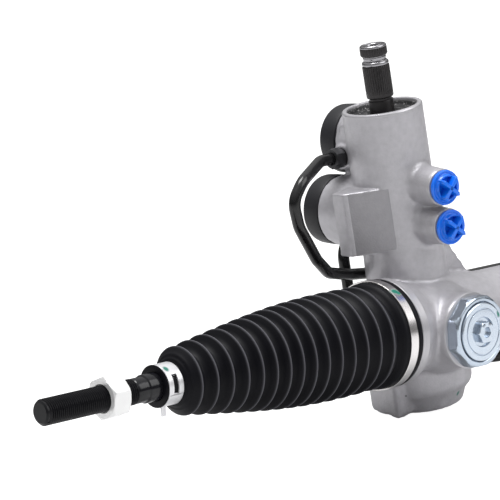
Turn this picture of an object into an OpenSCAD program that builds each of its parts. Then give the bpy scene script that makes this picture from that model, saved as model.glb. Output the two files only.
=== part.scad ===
// Hydraulic rack and pinion steering gear, in millimetres.
// The rack runs along X, the adjusting plug faces -Y and +Z is up.
// The origin is the mouth of the core in the lower mounting bush.

/* [Rack and tie rods] */
// Radius of the rack bar
rack_r = 14; // [13:0.5:15]
// Travel of the rack each way from straight ahead
rack_travel = 73; // [60:1:76]
// Distance from the pinion to the shoulder of the left ball socket
rack_reach = 123; // [121:1:130]
// Distance from the pinion to the middle of the whole gear
mid_x = 259; // [245:1:280]
// Length of the toothed stretch of the rack
teeth_length = 172; // [164:2:176]
// Distance from the socket shoulder to the centre of its ball
ball_reach = 17; // [16:0.5:19]
// Radius of the ball on the tie rod
ball_r = 13; // [12:0.25:13.5]
// Outer radius of the ball socket
socket_r = 19; // [18:0.5:20]
// Distance from the ball centre to the threaded end of the tie rod
tie_rod_length = 190.7; // [180:1:210]
// Radius of the thread on the tie rod
tie_thread_r = 8; // [7:0.5:9]
// Radius of the plain shank of the tie rod
shank_r = 8.8; // [8.2:0.1:9]
// Length of the thread on the tie rod
tie_thread_length = 70; // [50:1:75]
// Width across the flats of the jam nut
jam_nut_flats = 24; // [22:1:27]
// Thickness of the jam nut
jam_nut_height = 13; // [10:1:15]
// Distance from the end of the tie rod to the middle of the jam nut
jam_nut_place = 53; // [40:1:58]

/* [Pinion and valve] */
// Lean of the pinion towards the left end, in degrees
lean = 8.1; // [6:0.1:10]
// Distance from the rack axis to the pinion axis
pinion_offset = 17; // [16:0.25:18]
// Number of teeth on the pinion
pinion_teeth = 8; // [7:1:9]
// Size of the teeth, as the pitch over pi
tooth_module = 1.95; // [1.8:0.05:2.1]
// Pressure angle of the teeth, in degrees
pressure_angle = 25; // [22:0.5:27]
// Backlash between the teeth
backlash = 0.16; // [0.1:0.02:0.3]
// Half of the length of the pinion teeth
pinion_half = 16; // [13:1:18]
// Radius of the bore that holds the rotary valve
valve_bore_r = 20; // [19:0.25:21]
// Radius of the rotor, which is the middle of the input shaft
rotor_r = 12; // [11:0.25:13]
// Radius of the input shaft at its spline
spline_r = 8.93; // [8.5:0.05:9.5]
// Length of the spline
spline_length = 20.4; // [15:0.5:24]
// Height of the top of the input shaft above the rack axis, along the pinion
shaft_top = 186.6; // [180:0.5:195]
// Radius of the shaft below the spline
shaft_neck_r = 8.1; // [7.5:0.1:8.5]

/* [Housing] */
// Outer radius of the pinion tower
tower_r = 26.4; // [26:0.1:29]
// Height of the tower rim above the rack axis, along the pinion
tower_top = 145.6; // [143:0.5:155]
// Radius of the seal recess in the tower mouth
mouth_r = 23.1; // [22:0.1:23.6]
// Distance from the pinion to the open left end of the housing
housing_reach = 58; // [56:0.5:60]
// Radius of the spigot that carries the large end of a boot
spigot_r = 31.5; // [30:0.25:32]
// Radius of the machined ring beside the boot
end_ring_r = 35; // [34:0.25:36]
// Width of the machined ring beside the boot
end_ring_w = 6.5; // [5:0.5:8]
// Radius of the casting beside the cylinder tube
casting_r = 27; // [26.5:0.25:29]
// Distance from the pinion to the right end of the casting
casting_reach = 110; // [105:1:120]
// Radius of the yoke barrel
yoke_barrel_r = 25; // [23.5:0.25:27]
// Distance from the rack axis to the face of the yoke barrel
yoke_face = 36; // [34:0.5:40]
// Offset of the yoke axis along the rack
yoke_x = -2; // [-4:0.5:2]
// Height of the yoke axis above the rack axis
yoke_z = -2; // [-3:0.5:0]
// Radius of the bottom boss under the pinion
boss_r = 33; // [31:0.5:35]
// Depth of the bottom boss below the rack axis, along the pinion
boss_depth = 57; // [56:0.5:62]
// Radius of a fluid port boss at its tip
port_r = 11.9; // [11:0.1:13]
// Distance from the pinion axis to the tip of a port boss
port_reach = 45.6; // [42:0.5:50]
// Height of the upper port, along the pinion
upper_port_s = 93.7; // [90:0.5:100]
// Height of the lower port, along the pinion
lower_port_s = 67.4; // [60:0.5:69]

/* [Mountings] */
// Place of the lower mounting bush along the rack
lower_mount_x = -24.5; // [-28:0.5:-22]
// Height of the lower mounting bush above the rack
lower_mount_z = 74.5; // [72.5:0.5:75]
// Place of the upper mounting bush along the rack
upper_mount_x = -6; // [-8:0.5:-2]
// Height of the upper mounting bush above the rack
upper_mount_z = 119.5; // [118:0.5:121]
// Place of the far mounting bush along the rack
far_mount_x = 470; // [440:1:490]
// Height of the far mounting bush above the rack
far_mount_z = 56; // [54:0.5:70]
// Outer radius of a mounting barrel
barrel_r = 23.5; // [22.5:0.25:23.75]
// Distance from the rack axis to the rear face of a mounting barrel
barrel_back = 54; // [52:0.5:58]
// Length of rubber that stands out behind the barrel
bush_proud = 15; // [10:0.5:16]
// Radius of the rubber inside the barrel
bush_r = 18.5; // [17:0.25:19.5]
// Outer radius of the steel core
core_r = 9; // [8:0.25:10]
// Radius of the threaded hole in the core
core_bore_r = 6.2; // [5:0.1:6.5]
// Depth of the threaded hole in the core
core_bore_depth = 24; // [18:1:26]

/* [Cylinder] */
// Outer radius of the cylinder tube
cylinder_r = 24; // [23.5:0.25:24.5]
// Inner radius of the cylinder tube
cylinder_bore_r = 21; // [20.5:0.1:21.2]
// Place of the piston along the rack
piston_x = 350; // [300:1:400]
// Length of the piston
piston_length = 16; // [12:1:20]
// Place of the near fluid port of the cylinder
near_port_x = 196; // [190:1:220]
// Place of the far fluid port of the cylinder
far_port_x = 528; // [505:1:530]

/* [Boots and clamps] */
// Number of folds in a boot
fold_count = 15; // [12:1:16]
// Radius of the fold nearest the tie rod
first_fold_r = 21.4; // [20:0.2:24]
// Radius of the widest fold
widest_fold_r = 34.2; // [33:0.2:36]
// Depth of a fold
fold_depth = 4.8; // [3.5:0.1:5.5]
// Thickness of the boot wall
boot_wall = 1.8; // [1.5:0.1:2.2]
// Distance from the pinion to the small end of the boot
boot_reach = 243.2; // [240:0.2:247]
// Distance from the pinion to the fold nearest the tie rod
first_fold_x = 222.9; // [220:0.5:226]
// Distance from the pinion to the last fold
last_fold_x = 70.6; // [69:0.2:73]
// Width of the small boot clamp
small_clamp_w = 11.4; // [9:0.2:12]
// Width of the large boot clamp
large_clamp_w = 6.6; // [5:0.2:7]

/* [Pipes] */
// Radius of a fluid pipe
pipe_r = 3.9; // [3:0.1:4]
// Radius of a bend in a pipe
bend_r = 14; // [12:0.5:15]

/* [Hidden] */
$fn = 64;

// Clearances: a seat inside one body, a running fit, and a free gap
seat = 0.05;
run = 0.05;
gap = 0.3;
// Length by which a cut passes the face that it opens
over = 1;

origin = [lower_mount_x, barrel_back + bush_proud + 2, lower_mount_z];
core_back = barrel_back + bush_proud + 2;
bush_front = pinion_offset + valve_bore_r + 3.5;
core_front = bush_front + 1;

pitch_r = tooth_module * pinion_teeth / 2;
pitch_y = pinion_offset - pitch_r;
rack_tip_y = pitch_y + 0.46 * tooth_module;
rack_root_y = pitch_y - 1.34 * tooth_module;
pinion_tip_r = pitch_r + 1.18 * tooth_module;
pinion_root_r = pitch_r - 0.62 * tooth_module;
tooth_width = tooth_module * (PI / 2 + tan(pressure_angle)) - backlash / 2;
space_width = PI * tooth_module - tooth_width;

ball_x = rack_reach + ball_reach;
rod_end_x = ball_x + tie_rod_length;
held_thread_r = tie_thread_r - 0.2;
socket_bore_r = ball_r + 2.45;
stud_r = 7;
stud_length = 16;
washer_t = 2;
stop_x = rack_reach - washer_t - rack_travel - 0.5;

ring_outer_x = housing_reach - 12.5;
ring_inner_x = ring_outer_x - end_ring_w;
collar_r = spigot_r + 3.1;
rack_bore_r = rack_r + 0.8;
bush_seat_r = rack_r + 3;
tube_start_x = casting_reach - 22;
tube_end_x = 2 * mid_x + housing_reach - 24;

// Heights along the pinion axis
cap_s = 12;
lower_bore_s = 21;
lower_race_s = 33;
upper_bore_s = 24;
upper_race_s = 26;
race_w = 11;
race_out_r = 17.5;
race_in_r = 9;
valve_s = 44;
sleeve_s = 50;
sleeve_top_s = 110;
bearing_s = 114;
bearing_w = 12;
mouth_s = 127;
spline_s = shaft_top - 13.2;
// Torsion bar: slim middle, thick ends, and the heights of its foot and head
torsion_r = 2.4;
torsion_grip_r = 3.25;
torsion_foot_s = 8.5;
torsion_head_s = shaft_top - 5.6;
torsion_grip = 11.5;
pin_s = spline_s - 40;
pin_r = 1.5;
// Gland beside the near port of the cylinder
gland_x = near_port_x - 26;
gland_w = 9;

plug_thread_r = 19;
guide_bore_r = 16;
guide_seat = 17;
nut_flats = 45;
nut_t = 9;

// Fluid ports: turn about the tower and side step of the two bosses
port_turn = 7;
port_offset = 4.6;
port_thread_r = 7;
// Pipe nuts on the housing, and the turn of the ports on the cylinder
near_nut = [-33, 45.2, 110.5];
far_nut = [4, 50, 56];
near_port_up = 28;
far_port_up = -28;
port_boss_r = 9;
nut_bore_r = 5.5;
nut_len = 8;
nut_r = 7;
small_collar_r = 12;

function blend(a, b, t) = a + (b - a) * (1 - cos(180 * t)) / 2;
function sweep_profile(r0, x0, r1, x1, n) =
  [for (i = [0:n]) [blend(r0, r1, i / n), x0 + (x1 - x0) * i / n]];
function arc(c, r, a0, a1, n) =
  [for (i = [0:n]) c + r * [cos(a0 + (a1 - a0) * i / n), sin(a0 + (a1 - a0) * i / n)]];

// Everything is drawn about the point where the rack axis passes the pinion
module placed() { translate(-origin) children(); }
module mirrored() { translate([2 * mid_x, 0, 0]) mirror([1, 0, 0]) children(); }
module lathe_x(profile) { rotate([0, 90, 0]) rotate_extrude() polygon(profile); }
module rod_x(x0, x1, r) { translate([x0, 0, 0]) rotate([0, 90, 0]) cylinder(r = r, h = x1 - x0); }
module on_pinion(s = 0) {
  translate([0, pinion_offset, 0]) rotate([0, -lean, 0]) translate([0, 0, s]) children();
}
module rod_s(s0, s1, r) { on_pinion(s0) cylinder(r = r, h = s1 - s0); }
module ring_s(s0, s1, r_out, r_in) {
  on_pinion(s0) difference() {
    cylinder(r = r_out, h = s1 - s0);
    translate([0, 0, -over]) cylinder(r = r_in, h = s1 - s0 + 2 * over);
  }
}
module ring_x(x0, x1, r_out, r_in) {
  difference() {
    rod_x(x0, x1, r_out);
    rod_x(x0 - over, x1 + over, r_in);
  }
}
module on_yoke(d = 0) { translate([yoke_x, 0, yoke_z]) rotate([90, 0, 0]) translate([0, 0, d]) children(); }
module on_mount(x, z, y) { translate([x, y, z]) rotate([-90, 0, 0]) children(); }
module at_mounts() {
  for (c = [[lower_mount_x, lower_mount_z], [upper_mount_x, upper_mount_z], [far_mount_x, far_mount_z]])
    translate([c[0], 0, c[1]]) rotate([-90, 0, 0]) children();
}
module on_port(s, d) {
  on_pinion(s) translate([port_offset, 0, 0]) rotate([90, 0, -port_turn]) translate([0, 0, d]) children();
}

// Casting

// Open end that carries a boot, drawn at the left and mirrored for the right
function end_collar() = [
  [spigot_r - 1, -housing_reach], [spigot_r, -housing_reach + 1],
  [spigot_r, -ring_outer_x], [end_ring_r - 0.5, -ring_outer_x],
  [end_ring_r, -ring_outer_x + 0.5], [end_ring_r, -ring_inner_x - 0.5], [end_ring_r - 0.5, -ring_inner_x]
];

module rack_case() {
  lathe_x(concat(
    [[0, -housing_reach]], end_collar(),
    sweep_profile(end_ring_r - 1.6, -ring_inner_x, casting_r + 2.6, -ring_inner_x + 16, 6),
    sweep_profile(casting_r + 2.8, -18, casting_r + 3.6, 4, 4),
    sweep_profile(casting_r + 3.4, 8, casting_r, 52, 6),
    [[casting_r, casting_reach - 1], [casting_r - 1, casting_reach], [0, casting_reach]]
  ));
}

module tower() {
  rim = 1.6;
  on_pinion() rotate_extrude() polygon(concat(
    [[0, -10], [tower_r + 0.6, -10], [tower_r + 0.6, 30]],
    sweep_profile(tower_r + 0.6, 34, tower_r, 60, 3),
    arc([tower_r - rim, tower_top - rim], rim, 0, 90, 5),
    [[0, tower_top]]
  ));
}

module bottom_boss() {
  flat_x = 39;
  on_pinion() rotate_extrude() polygon(concat(
    [[0, -8], [boss_r - 3, -8]],
    sweep_profile(boss_r - 3, -10, boss_r, -26, 4),
    arc([boss_r - 9, -boss_depth + 17], 9, 0, -62, 5),
    [[boss_r - 8, -boss_depth + 1], [boss_r - 9, -boss_depth], [0, -boss_depth]]
  ));
  // Flat machining pad on the left of the boss
  on_pinion() translate([0, 0, -boss_depth + 1]) linear_extrude(height = boss_depth - 16)
    polygon([[-flat_x, -11], [-flat_x + 1.5, -12.5], [-flat_x + 16, -12.5], [-10, -26], [0, -20],
      [0, 24], [-24, 24], [-flat_x + 8, 20]]);
}

module yoke_barrel() {
  on_yoke() rotate_extrude() polygon(concat(
    [[0, 0], [yoke_barrel_r + 6, 0]],
    sweep_profile(yoke_barrel_r + 6, 8, yoke_barrel_r, 30, 6),
    [[yoke_barrel_r, yoke_face - 1], [yoke_barrel_r - 1, yoke_face], [0, yoke_face]]
  ));
}

module mount_barrel(x, z, front, back) {
  on_mount(x, z, front) rotate_extrude() polygon([
    [0, 0], [barrel_r, 0], [barrel_r, back - front - 1], [barrel_r - 1, back - front], [0, back - front]
  ]);
}

// Block between the lower mounting barrel and the tower, with its flat front
module mount_block() {
  x = -42.2;
  on_pinion(lower_port_s - 12.4) linear_extrude(height = 42)
    polygon([[x, 15], [x, 5], [x + 1.4, 3.2], [-18.6, -18.2], [-16, -19.6], [4, -16], [4, 15]]);
}

module rear_web() {
  on_pinion(48) linear_extrude(height = 88) polygon([[-14, 10], [-12, 31], [10, 31], [14, 10]]);
}

module gusset() {
  translate([0, 24, 0]) rotate([90, 0, 0]) linear_extrude(height = 15)
    polygon([[12, 68], [18, 61], [48, 25], [58, 20], [58, 2], [0, 2]]);
}

module port_boss(s) {
  on_port(s, 0) rotate_extrude() polygon([
    [0, 0], [port_r + 3.2, 0], [port_r + 2.2, 22], [port_r + 0.9, 30],
    [port_r, port_reach - 1], [port_r - 1, port_reach], [0, port_reach]
  ]);
}

module housing_pipe_bosses() {
  translate(near_nut) rotate([0, 90, 0]) cylinder(r = port_boss_r - 0.5, h = 20);
  translate(far_nut) rotate([90, 0, 0]) cylinder(r = port_boss_r, h = 16);
}

module housing_bores() {
  rod_x(-housing_reach - over, casting_reach + over, rack_bore_r);
  rod_x(-stop_x, -stop_x + 27, bush_seat_r + seat);
  rod_x(-housing_reach - over, -stop_x, socket_r + 3);
  rod_x(tube_start_x, casting_reach + over, cylinder_r + seat);
  on_pinion(-boss_depth - over) cylinder(r = valve_bore_r + seat, h = cap_s + over);
  rod_s(-boss_depth + cap_s - 1, -lower_bore_s, race_out_r + seat);
  rod_s(-lower_bore_s - over, upper_bore_s + over, pinion_tip_r + 1.9);
  rod_s(upper_bore_s, valve_s + over, race_out_r + seat);
  rod_s(valve_s, mouth_s + over, valve_bore_r + seat);
  rod_s(mouth_s, tower_top + over, mouth_r);
  on_yoke() cylinder(r = guide_bore_r + seat, h = yoke_face);
  on_yoke(yoke_face - 11) cylinder(r = plug_thread_r + run, h = 12);
  for (c = [[lower_mount_x, lower_mount_z], [upper_mount_x, upper_mount_z]])
    on_mount(c[0], c[1], bush_front - 1) cylinder(r = bush_r + seat, h = barrel_back - bush_front + 2);
  for (s = [lower_port_s, upper_port_s]) {
    on_port(s, port_reach - 16) cylinder(r = port_thread_r, h = 17);
    on_port(s, valve_bore_r - 4) cylinder(r = 3, h = port_reach - valve_bore_r - 8);
  }
  translate(near_nut - [over, 0, 0]) rotate([0, 90, 0]) cylinder(r = nut_bore_r, h = 11);
  translate(far_nut + [0, over, 0]) rotate([90, 0, 0]) cylinder(r = nut_bore_r, h = 11);
}

module gear_housing() {
  color([0.72, 0.72, 0.74]) difference() {
    union() {
      rack_case();
      tower();
      bottom_boss();
      yoke_barrel();
      mount_barrel(lower_mount_x, lower_mount_z, 18, barrel_back);
      mount_barrel(upper_mount_x, upper_mount_z, 16, barrel_back);
      mount_block();
      rear_web();
      gusset();
      port_boss(upper_port_s);
      port_boss(lower_port_s);
      housing_pipe_bosses();
    }
    housing_bores();
  }
}

module cylinder_port_hole(x, up) {
  translate([x, 0, 0]) rotate([up - 90, 0, 0]) {
    cylinder(r = 2.5, h = 60);
    translate([0, 0, cylinder_r + 1]) cylinder(r = nut_bore_r, h = 60);
  }
}

module cylinder_tube() {
  color([0.62, 0.63, 0.65]) difference() {
    union() {
      rod_x(tube_start_x + seat, tube_end_x - seat, cylinder_r);
      translate([near_port_x, 0, 0]) rotate([near_port_up - 90, 0, 0]) cylinder(r = port_boss_r, h = cylinder_r + 10);
      translate([far_port_x, 0, 0]) rotate([far_port_up - 90, 0, 0]) cylinder(r = port_boss_r, h = cylinder_r + 10);
    }
    rod_x(tube_start_x - over, tube_end_x + over, cylinder_bore_r);
    cylinder_port_hole(near_port_x, near_port_up);
    cylinder_port_hole(far_port_x, far_port_up);
  }
}

module end_housing() {
  color([0.72, 0.72, 0.74]) mirrored() difference() {
    lathe_x(concat(
      [[0, -housing_reach]], end_collar(),
      sweep_profile(end_ring_r - 1.6, -ring_inner_x, casting_r + 1.5, -ring_inner_x + 12, 5),
      [[casting_r + 1.5, -21], [casting_r + 0.5, -20], [0, -20]]
    ));
    rod_x(-housing_reach - over, -20 + over, rack_bore_r);
    rod_x(-stop_x, -stop_x + 9, bush_seat_r + seat);
    rod_x(-housing_reach - over, -stop_x, socket_r + 3);
    rod_x(-housing_reach + 24, -20 + over, cylinder_r + seat);
  }
}

module far_mount_bracket() {
  half = 17;
  color([0.72, 0.72, 0.74]) difference() {
    union() {
      rod_x(far_mount_x - half, far_mount_x + half, cylinder_r + 7);
      mount_barrel(far_mount_x, far_mount_z, 14, barrel_back);
      translate([far_mount_x - 14, -6, 10]) cube([28, 42, far_mount_z - 18]);
    }
    rod_x(far_mount_x - half - over, far_mount_x + half + over, cylinder_r + seat);
    on_mount(far_mount_x, far_mount_z, bush_front - 1) cylinder(r = bush_r + seat, h = barrel_back - bush_front + 2);
  }
}

// Mounting bushes

module mount_bushes() {
  color([0.06, 0.06, 0.07]) at_mounts() difference() {
    rotate_extrude() polygon([
      [0, bush_front], [bush_r - 1, bush_front], [bush_r, bush_front + 1], [bush_r, barrel_back + seat],
      [barrel_r - 0.6, barrel_back + seat], [barrel_r - 0.2, barrel_back + 0.8],
      [barrel_r - 0.8, barrel_back + bush_proud - 2], [barrel_r - 2.6, barrel_back + bush_proud],
      [0, barrel_back + bush_proud]
    ]);
    translate([0, 0, bush_front - over]) cylinder(r = core_r + seat, h = 60);
  }
}

module mount_cores() {
  color([0.75, 0.74, 0.70]) at_mounts() difference() {
    translate([0, 0, core_front]) cylinder(r = core_r, h = core_back - core_front);
    translate([0, 0, core_back - core_bore_depth]) cylinder(r = core_bore_r, h = core_bore_depth + over);
  }
}

// Rack guide

module rack_guide() {
  color([0.70, 0.70, 0.72]) difference() {
    on_yoke(7) cylinder(r = guide_bore_r, h = 18);
    rod_x(-60, 60, rack_r + run);
    on_yoke(guide_seat) cylinder(r = 9, h = 10);
  }
}

spring_wire = 1.3;
spring_r = 7;
function spring_points() =
  let (turns = 4, n = 14, z0 = guide_seat + spring_wire + 0.1, z1 = 34 - spring_wire - 0.1)
  [for (i = [0:turns * n]) [
    spring_r * cos(360 * i / n), spring_r * sin(360 * i / n), z0 + (z1 - z0) * i / (turns * n)]];

module guide_spring() { color([0.45, 0.45, 0.48]) on_yoke() swept_tube(spring_points(), spring_wire, 8); }

module adjusting_plug() {
  knob_r = 7.5;
  top = yoke_face + nut_t + 1.5;
  color([0.78, 0.80, 0.82]) difference() {
    union() {
      on_yoke(27) cylinder(r = plug_thread_r, h = top - 28);
      on_yoke(top - 1.01) cylinder(r1 = plug_thread_r, r2 = plug_thread_r - 1, h = 1.01);
      on_yoke(top - over) cylinder(r = knob_r, h = 3.5 + over, $fn = 6);
    }
    on_yoke(26) cylinder(r = 9, h = 8);
    on_yoke(top) cylinder(r = 3.4, h = 5, $fn = 6);
  }
}

module adjusting_lock_nut() {
  corner_r = nut_flats / 2 / cos(22.5);
  color([0.80, 0.82, 0.84]) difference() {
    intersection() {
      on_yoke(yoke_face + 0.1) rotate([0, 0, 22.5]) cylinder(r = corner_r, h = nut_t, $fn = 8);
      on_yoke(yoke_face + 0.1) rotate_extrude() polygon([
        [0, 0], [corner_r - 1.2, 0], [corner_r + 0.5, 1.7], [corner_r + 0.5, nut_t - 2],
        [corner_r - 2, nut_t], [0, nut_t]]);
    }
    on_yoke(yoke_face - over) cylinder(r = plug_thread_r + run, h = nut_t + 3);
  }
}

// Pinion, bearings and valve

module bottom_cap() {
  color([0.6, 0.6, 0.62]) difference() {
    on_pinion(-boss_depth + 0.5) cylinder(r = valve_bore_r, h = cap_s - 1.6);
    on_pinion(-boss_depth - 1) cylinder(r = 8, h = 6, $fn = 6);
    on_pinion(-boss_depth + 8) cylinder(r = 14, h = 8);
  }
}

module race_groove(s, r) {
  on_pinion(s) rotate_extrude() translate([(race_out_r + race_in_r) / 2, 0]) circle(r = r);
}
race_places = [-lower_race_s + race_w / 2, upper_race_s + race_w / 2];

module bearing_outer_rings() {
  color([0.7, 0.7, 0.72]) for (s = race_places) difference() {
    ring_s(s - race_w / 2, s + race_w / 2, race_out_r, race_out_r - 2.8);
    race_groove(s, 2.8);
  }
}

module bearing_inner_rings() {
  color([0.7, 0.7, 0.72]) for (s = race_places) difference() {
    ring_s(s - race_w / 2, s + race_w / 2, race_in_r + 2.8, race_in_r + seat);
    race_groove(s, 2.8);
  }
}

module bearing_balls() {
  color([0.75, 0.75, 0.78]) for (s = race_places, i = [0:8])
    on_pinion(s) rotate([0, 0, 40 * i]) translate([(race_out_r + race_in_r) / 2, 0, 0]) sphere(r = 2.6);
}

module pinion_seal() {
  color([0.1, 0.1, 0.1]) ring_s(upper_race_s + race_w + 0.4, valve_s - 0.6, race_out_r, race_in_r + run);
}

module pinion_nut() {
  color([0.65, 0.62, 0.5]) difference() {
    on_pinion(-lower_race_s - 9) cylinder(r = 11, h = 8.9, $fn = 6);
    on_pinion(-lower_race_s - 10) cylinder(r = 7 + seat, h = 12);
  }
}

// Involute tooth outline of the pinion, and the straight flanks of the rack
function inv(a) = tan(a) - a * PI / 180;
function flank_angle(r) =
  let (base_r = pitch_r * cos(pressure_angle),
       half = tooth_width / (2 * pitch_r) * 180 / PI,
       a = acos(min(1, base_r / max(r, base_r))))
  half + (inv(pressure_angle) - inv(a)) * 180 / PI;
function tooth(k) =
  let (mid = -90 + 360 / pinion_teeth * (k + 0.5), n = 6,
       base_r = pitch_r * cos(pressure_angle),
       rs = concat([pinion_root_r], [for (i = [0:n]) base_r + (pinion_tip_r - base_r) * i / n]))
  concat(
    [for (r = rs) r * [cos(mid - flank_angle(r)), sin(mid - flank_angle(r))]],
    [for (i = [len(rs) - 1:-1:0]) rs[i] * [cos(mid + flank_angle(rs[i])), sin(mid + flank_angle(rs[i]))]]);

module pinion_teeth_solid() {
  translate([0, 0, -pinion_half]) linear_extrude(height = 2 * pinion_half)
    polygon([for (k = [0:pinion_teeth - 1]) each tooth(k)]);
}

module pinion() {
  color([0.55, 0.56, 0.58]) difference() {
    union() {
      on_pinion() pinion_teeth_solid();
      rod_s(-lower_race_s, -pinion_half + 0.01, race_in_r);
      rod_s(-lower_race_s - 11, -lower_race_s, 7);
      rod_s(pinion_half - 0.01, valve_s, race_in_r);
      rod_s(valve_s - 0.5, sleeve_s, 14);
    }
    rod_s(valve_s - 4, sleeve_s + over, 7 + gap);
    rod_s(torsion_foot_s - 0.5, valve_s - 3, torsion_grip_r + seat);
  }
}

module valve_sleeve() {
  color([0.62, 0.62, 0.64]) difference() {
    ring_s(sleeve_s + seat, sleeve_top_s, valve_bore_r - 0.2, rotor_r);
    for (k = [0:3]) ring_s(sleeve_s + 6 + 14 * k, sleeve_s + 8 + 14 * k, valve_bore_r + 1, valve_bore_r - 1.4);
    for (k = [0:2], a = [30:60:330]) on_pinion(sleeve_s + 13.5 + 14 * k) rotate([90, 0, a]) cylinder(r = 1.6, h = 30);
  }
}

module valve_rings() {
  color([0.2, 0.35, 0.3]) for (k = [0:3])
    ring_s(sleeve_s + 6 + 14 * k + seat, sleeve_s + 8 + 14 * k - seat, valve_bore_r, valve_bore_r - 1.35);
}

module input_bearing() {
  color([0.7, 0.7, 0.72]) ring_s(bearing_s, bearing_s + bearing_w, valve_bore_r, 10 + run);
}

module shaft_seal() {
  color([0.08, 0.08, 0.09]) on_pinion(mouth_s + 0.3) rotate_extrude() polygon([
    [shaft_neck_r + run, 2.5], [shaft_neck_r + run, 4], [shaft_neck_r + 1.5, 5.5], [shaft_neck_r + 4, 5.5],
    [shaft_neck_r + 5.5, 3], [mouth_r - 3, 3], [mouth_r - 2.5, 9.4], [mouth_r - seat, 9.4],
    [mouth_r - seat, 0], [shaft_neck_r + 3, 0]]);
}

module snap_ring() {
  color([0.25, 0.25, 0.26]) difference() {
    ring_s(mouth_s + 9.8, mouth_s + 11.2, mouth_r - seat, mouth_r - 3.2);
    on_pinion(mouth_s + 9) rotate([0, 0, 35]) translate([0, -4, 0]) cube([30, 8, 4]);
  }
}

module dust_cover() {
  color([0.07, 0.07, 0.08]) on_pinion(mouth_s + 11.5) rotate_extrude() polygon([
    [shaft_neck_r + gap, 0], [mouth_r - 4.5, 0], [mouth_r - 3.6, 0.8], [mouth_r - 3.6, 2],
    [mouth_r - 5.5, 2.2], [shaft_neck_r + 3, 2.2], [shaft_neck_r + 2, 4], [shaft_neck_r + gap, 4]]);
}

module torsion_bar() {
  color([0.5, 0.5, 0.52]) {
    difference() {
      union() {
        rod_s(torsion_foot_s, torsion_foot_s + torsion_grip, torsion_grip_r);
        rod_s(torsion_foot_s + torsion_grip - over, torsion_head_s - 15, torsion_r);
        rod_s(torsion_head_s - 16, torsion_head_s, torsion_grip_r);
      }
      on_pinion(pin_s) translate([0, 15, 0]) rotate([90, 0, 0]) cylinder(r = pin_r + seat, h = 30);
    }
  }
}

module torsion_pin() {
  color([0.7, 0.7, 0.72]) on_pinion(pin_s) translate([0, 7.6, 0]) rotate([90, 0, 0]) cylinder(r = pin_r, h = 15.2);
}

module input_shaft() {
  knurl_s = shaft_top - 6.6;
  foot_s = valve_s - 3;
  color([0.16, 0.16, 0.17]) difference() {
    on_pinion() rotate_extrude() polygon([
      [0, foot_s], [7, foot_s], [7, sleeve_s + gap], [rotor_r - run, sleeve_s + gap + 0.6],
      [rotor_r - run, sleeve_top_s + 2], [10, sleeve_top_s + 3], [10, mouth_s - 0.5],
      [shaft_neck_r, mouth_s], [shaft_neck_r, spline_s - spline_length - 1],
      [spline_r, spline_s - spline_length], [spline_r, spline_s - 1], [7.5, spline_s],
      [7.5, knurl_s - 1], [spline_r - 0.05, knurl_s], [spline_r - 0.05, shaft_top - 1],
      [8.2, shaft_top], [0, shaft_top]
    ]);
    rod_s(foot_s - over, torsion_head_s + over, torsion_grip_r + 2 * seat);
    rod_s(shaft_top - 4, shaft_top + over, 4);
    on_pinion(pin_s) translate([0, 15, 0]) rotate([90, 0, 0]) cylinder(r = pin_r + seat, h = 30);
    for (k = [0:5]) on_pinion(sleeve_s + 12) rotate([0, 0, 60 * k]) translate([rotor_r - 1.2, -1.5, 0]) cube([4, 3, 36]);
  }
}

// Rack, piston and ball joints

// Comb of straight tooth spaces, cut along the pinion axis
function rack_space(u, side) = [
  [u - side * space_half(rack_tip_y), rack_tip_y], [u - side * space_half(rack_root_y), rack_root_y],
  [u + side * space_half(rack_root_y), rack_root_y], [u + side * space_half(rack_tip_y), rack_tip_y]];
function space_half(y) = tooth_width / 2 + backlash / 2 + (y - pitch_y) * tan(pressure_angle);

module rack_comb() {
  pitch = PI * tooth_module;
  half_u = teeth_length / 2 * cos(lean);
  n = floor(half_u / pitch - 0.5);
  rotate([0, -lean, 0]) linear_extrude(height = 5 * rack_r, center = true) polygon(concat(
    [[-half_u, rack_r + 5], [-half_u, rack_tip_y]],
    [for (k = [-n - 1:n]) each rack_space((k + 0.5) * pitch, 1)],
    [[half_u, rack_tip_y], [half_u, rack_r + 5]]));
}

module rack_bar() {
  end = rack_reach - washer_t;
  color([0.62, 0.63, 0.65]) difference() {
    rod_x(-end, 2 * mid_x + end, rack_r);
    rack_comb();
    rod_x(-end - over, -end + stud_length + 2, stud_r + seat);
    mirrored() rod_x(-end - over, -end + stud_length + 2, stud_r + seat);
  }
}

module rack_bushes() {
  color([0.15, 0.15, 0.15]) {
    ring_x(-stop_x + 0.2, -stop_x + 26.8, bush_seat_r, rack_r + run);
    mirrored() ring_x(-stop_x + 0.2, -stop_x + 8.8, bush_seat_r, rack_r + run);
  }
}

module cylinder_seals() {
  color([0.12, 0.12, 0.12]) {
    ring_x(gland_x, gland_x + gland_w, cylinder_bore_r - seat, rack_r + run);
    ring_x(tube_end_x - 10, tube_end_x - seat, cylinder_bore_r - seat, rack_r + run);
  }
}

module piston() {
  color([0.65, 0.65, 0.67]) difference() {
    ring_x(piston_x - piston_length / 2, piston_x + piston_length / 2, cylinder_bore_r - gap, rack_r + seat);
    ring_x(piston_x - 2.5, piston_x + 2.5, cylinder_bore_r + 1, cylinder_bore_r - 2.5);
  }
}

module piston_ring() {
  color([0.2, 0.35, 0.3]) ring_x(piston_x - 2.45, piston_x + 2.45, cylinder_bore_r - run, cylinder_bore_r - 2.45);
}

module lock_washers() {
  color([0.55, 0.55, 0.5]) {
    ring_x(-rack_reach, -rack_reach + washer_t, socket_r - 2.5, stud_r + seat);
    mirrored() ring_x(-rack_reach, -rack_reach + washer_t, socket_r - 2.5, stud_r + seat);
  }
}

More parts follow.
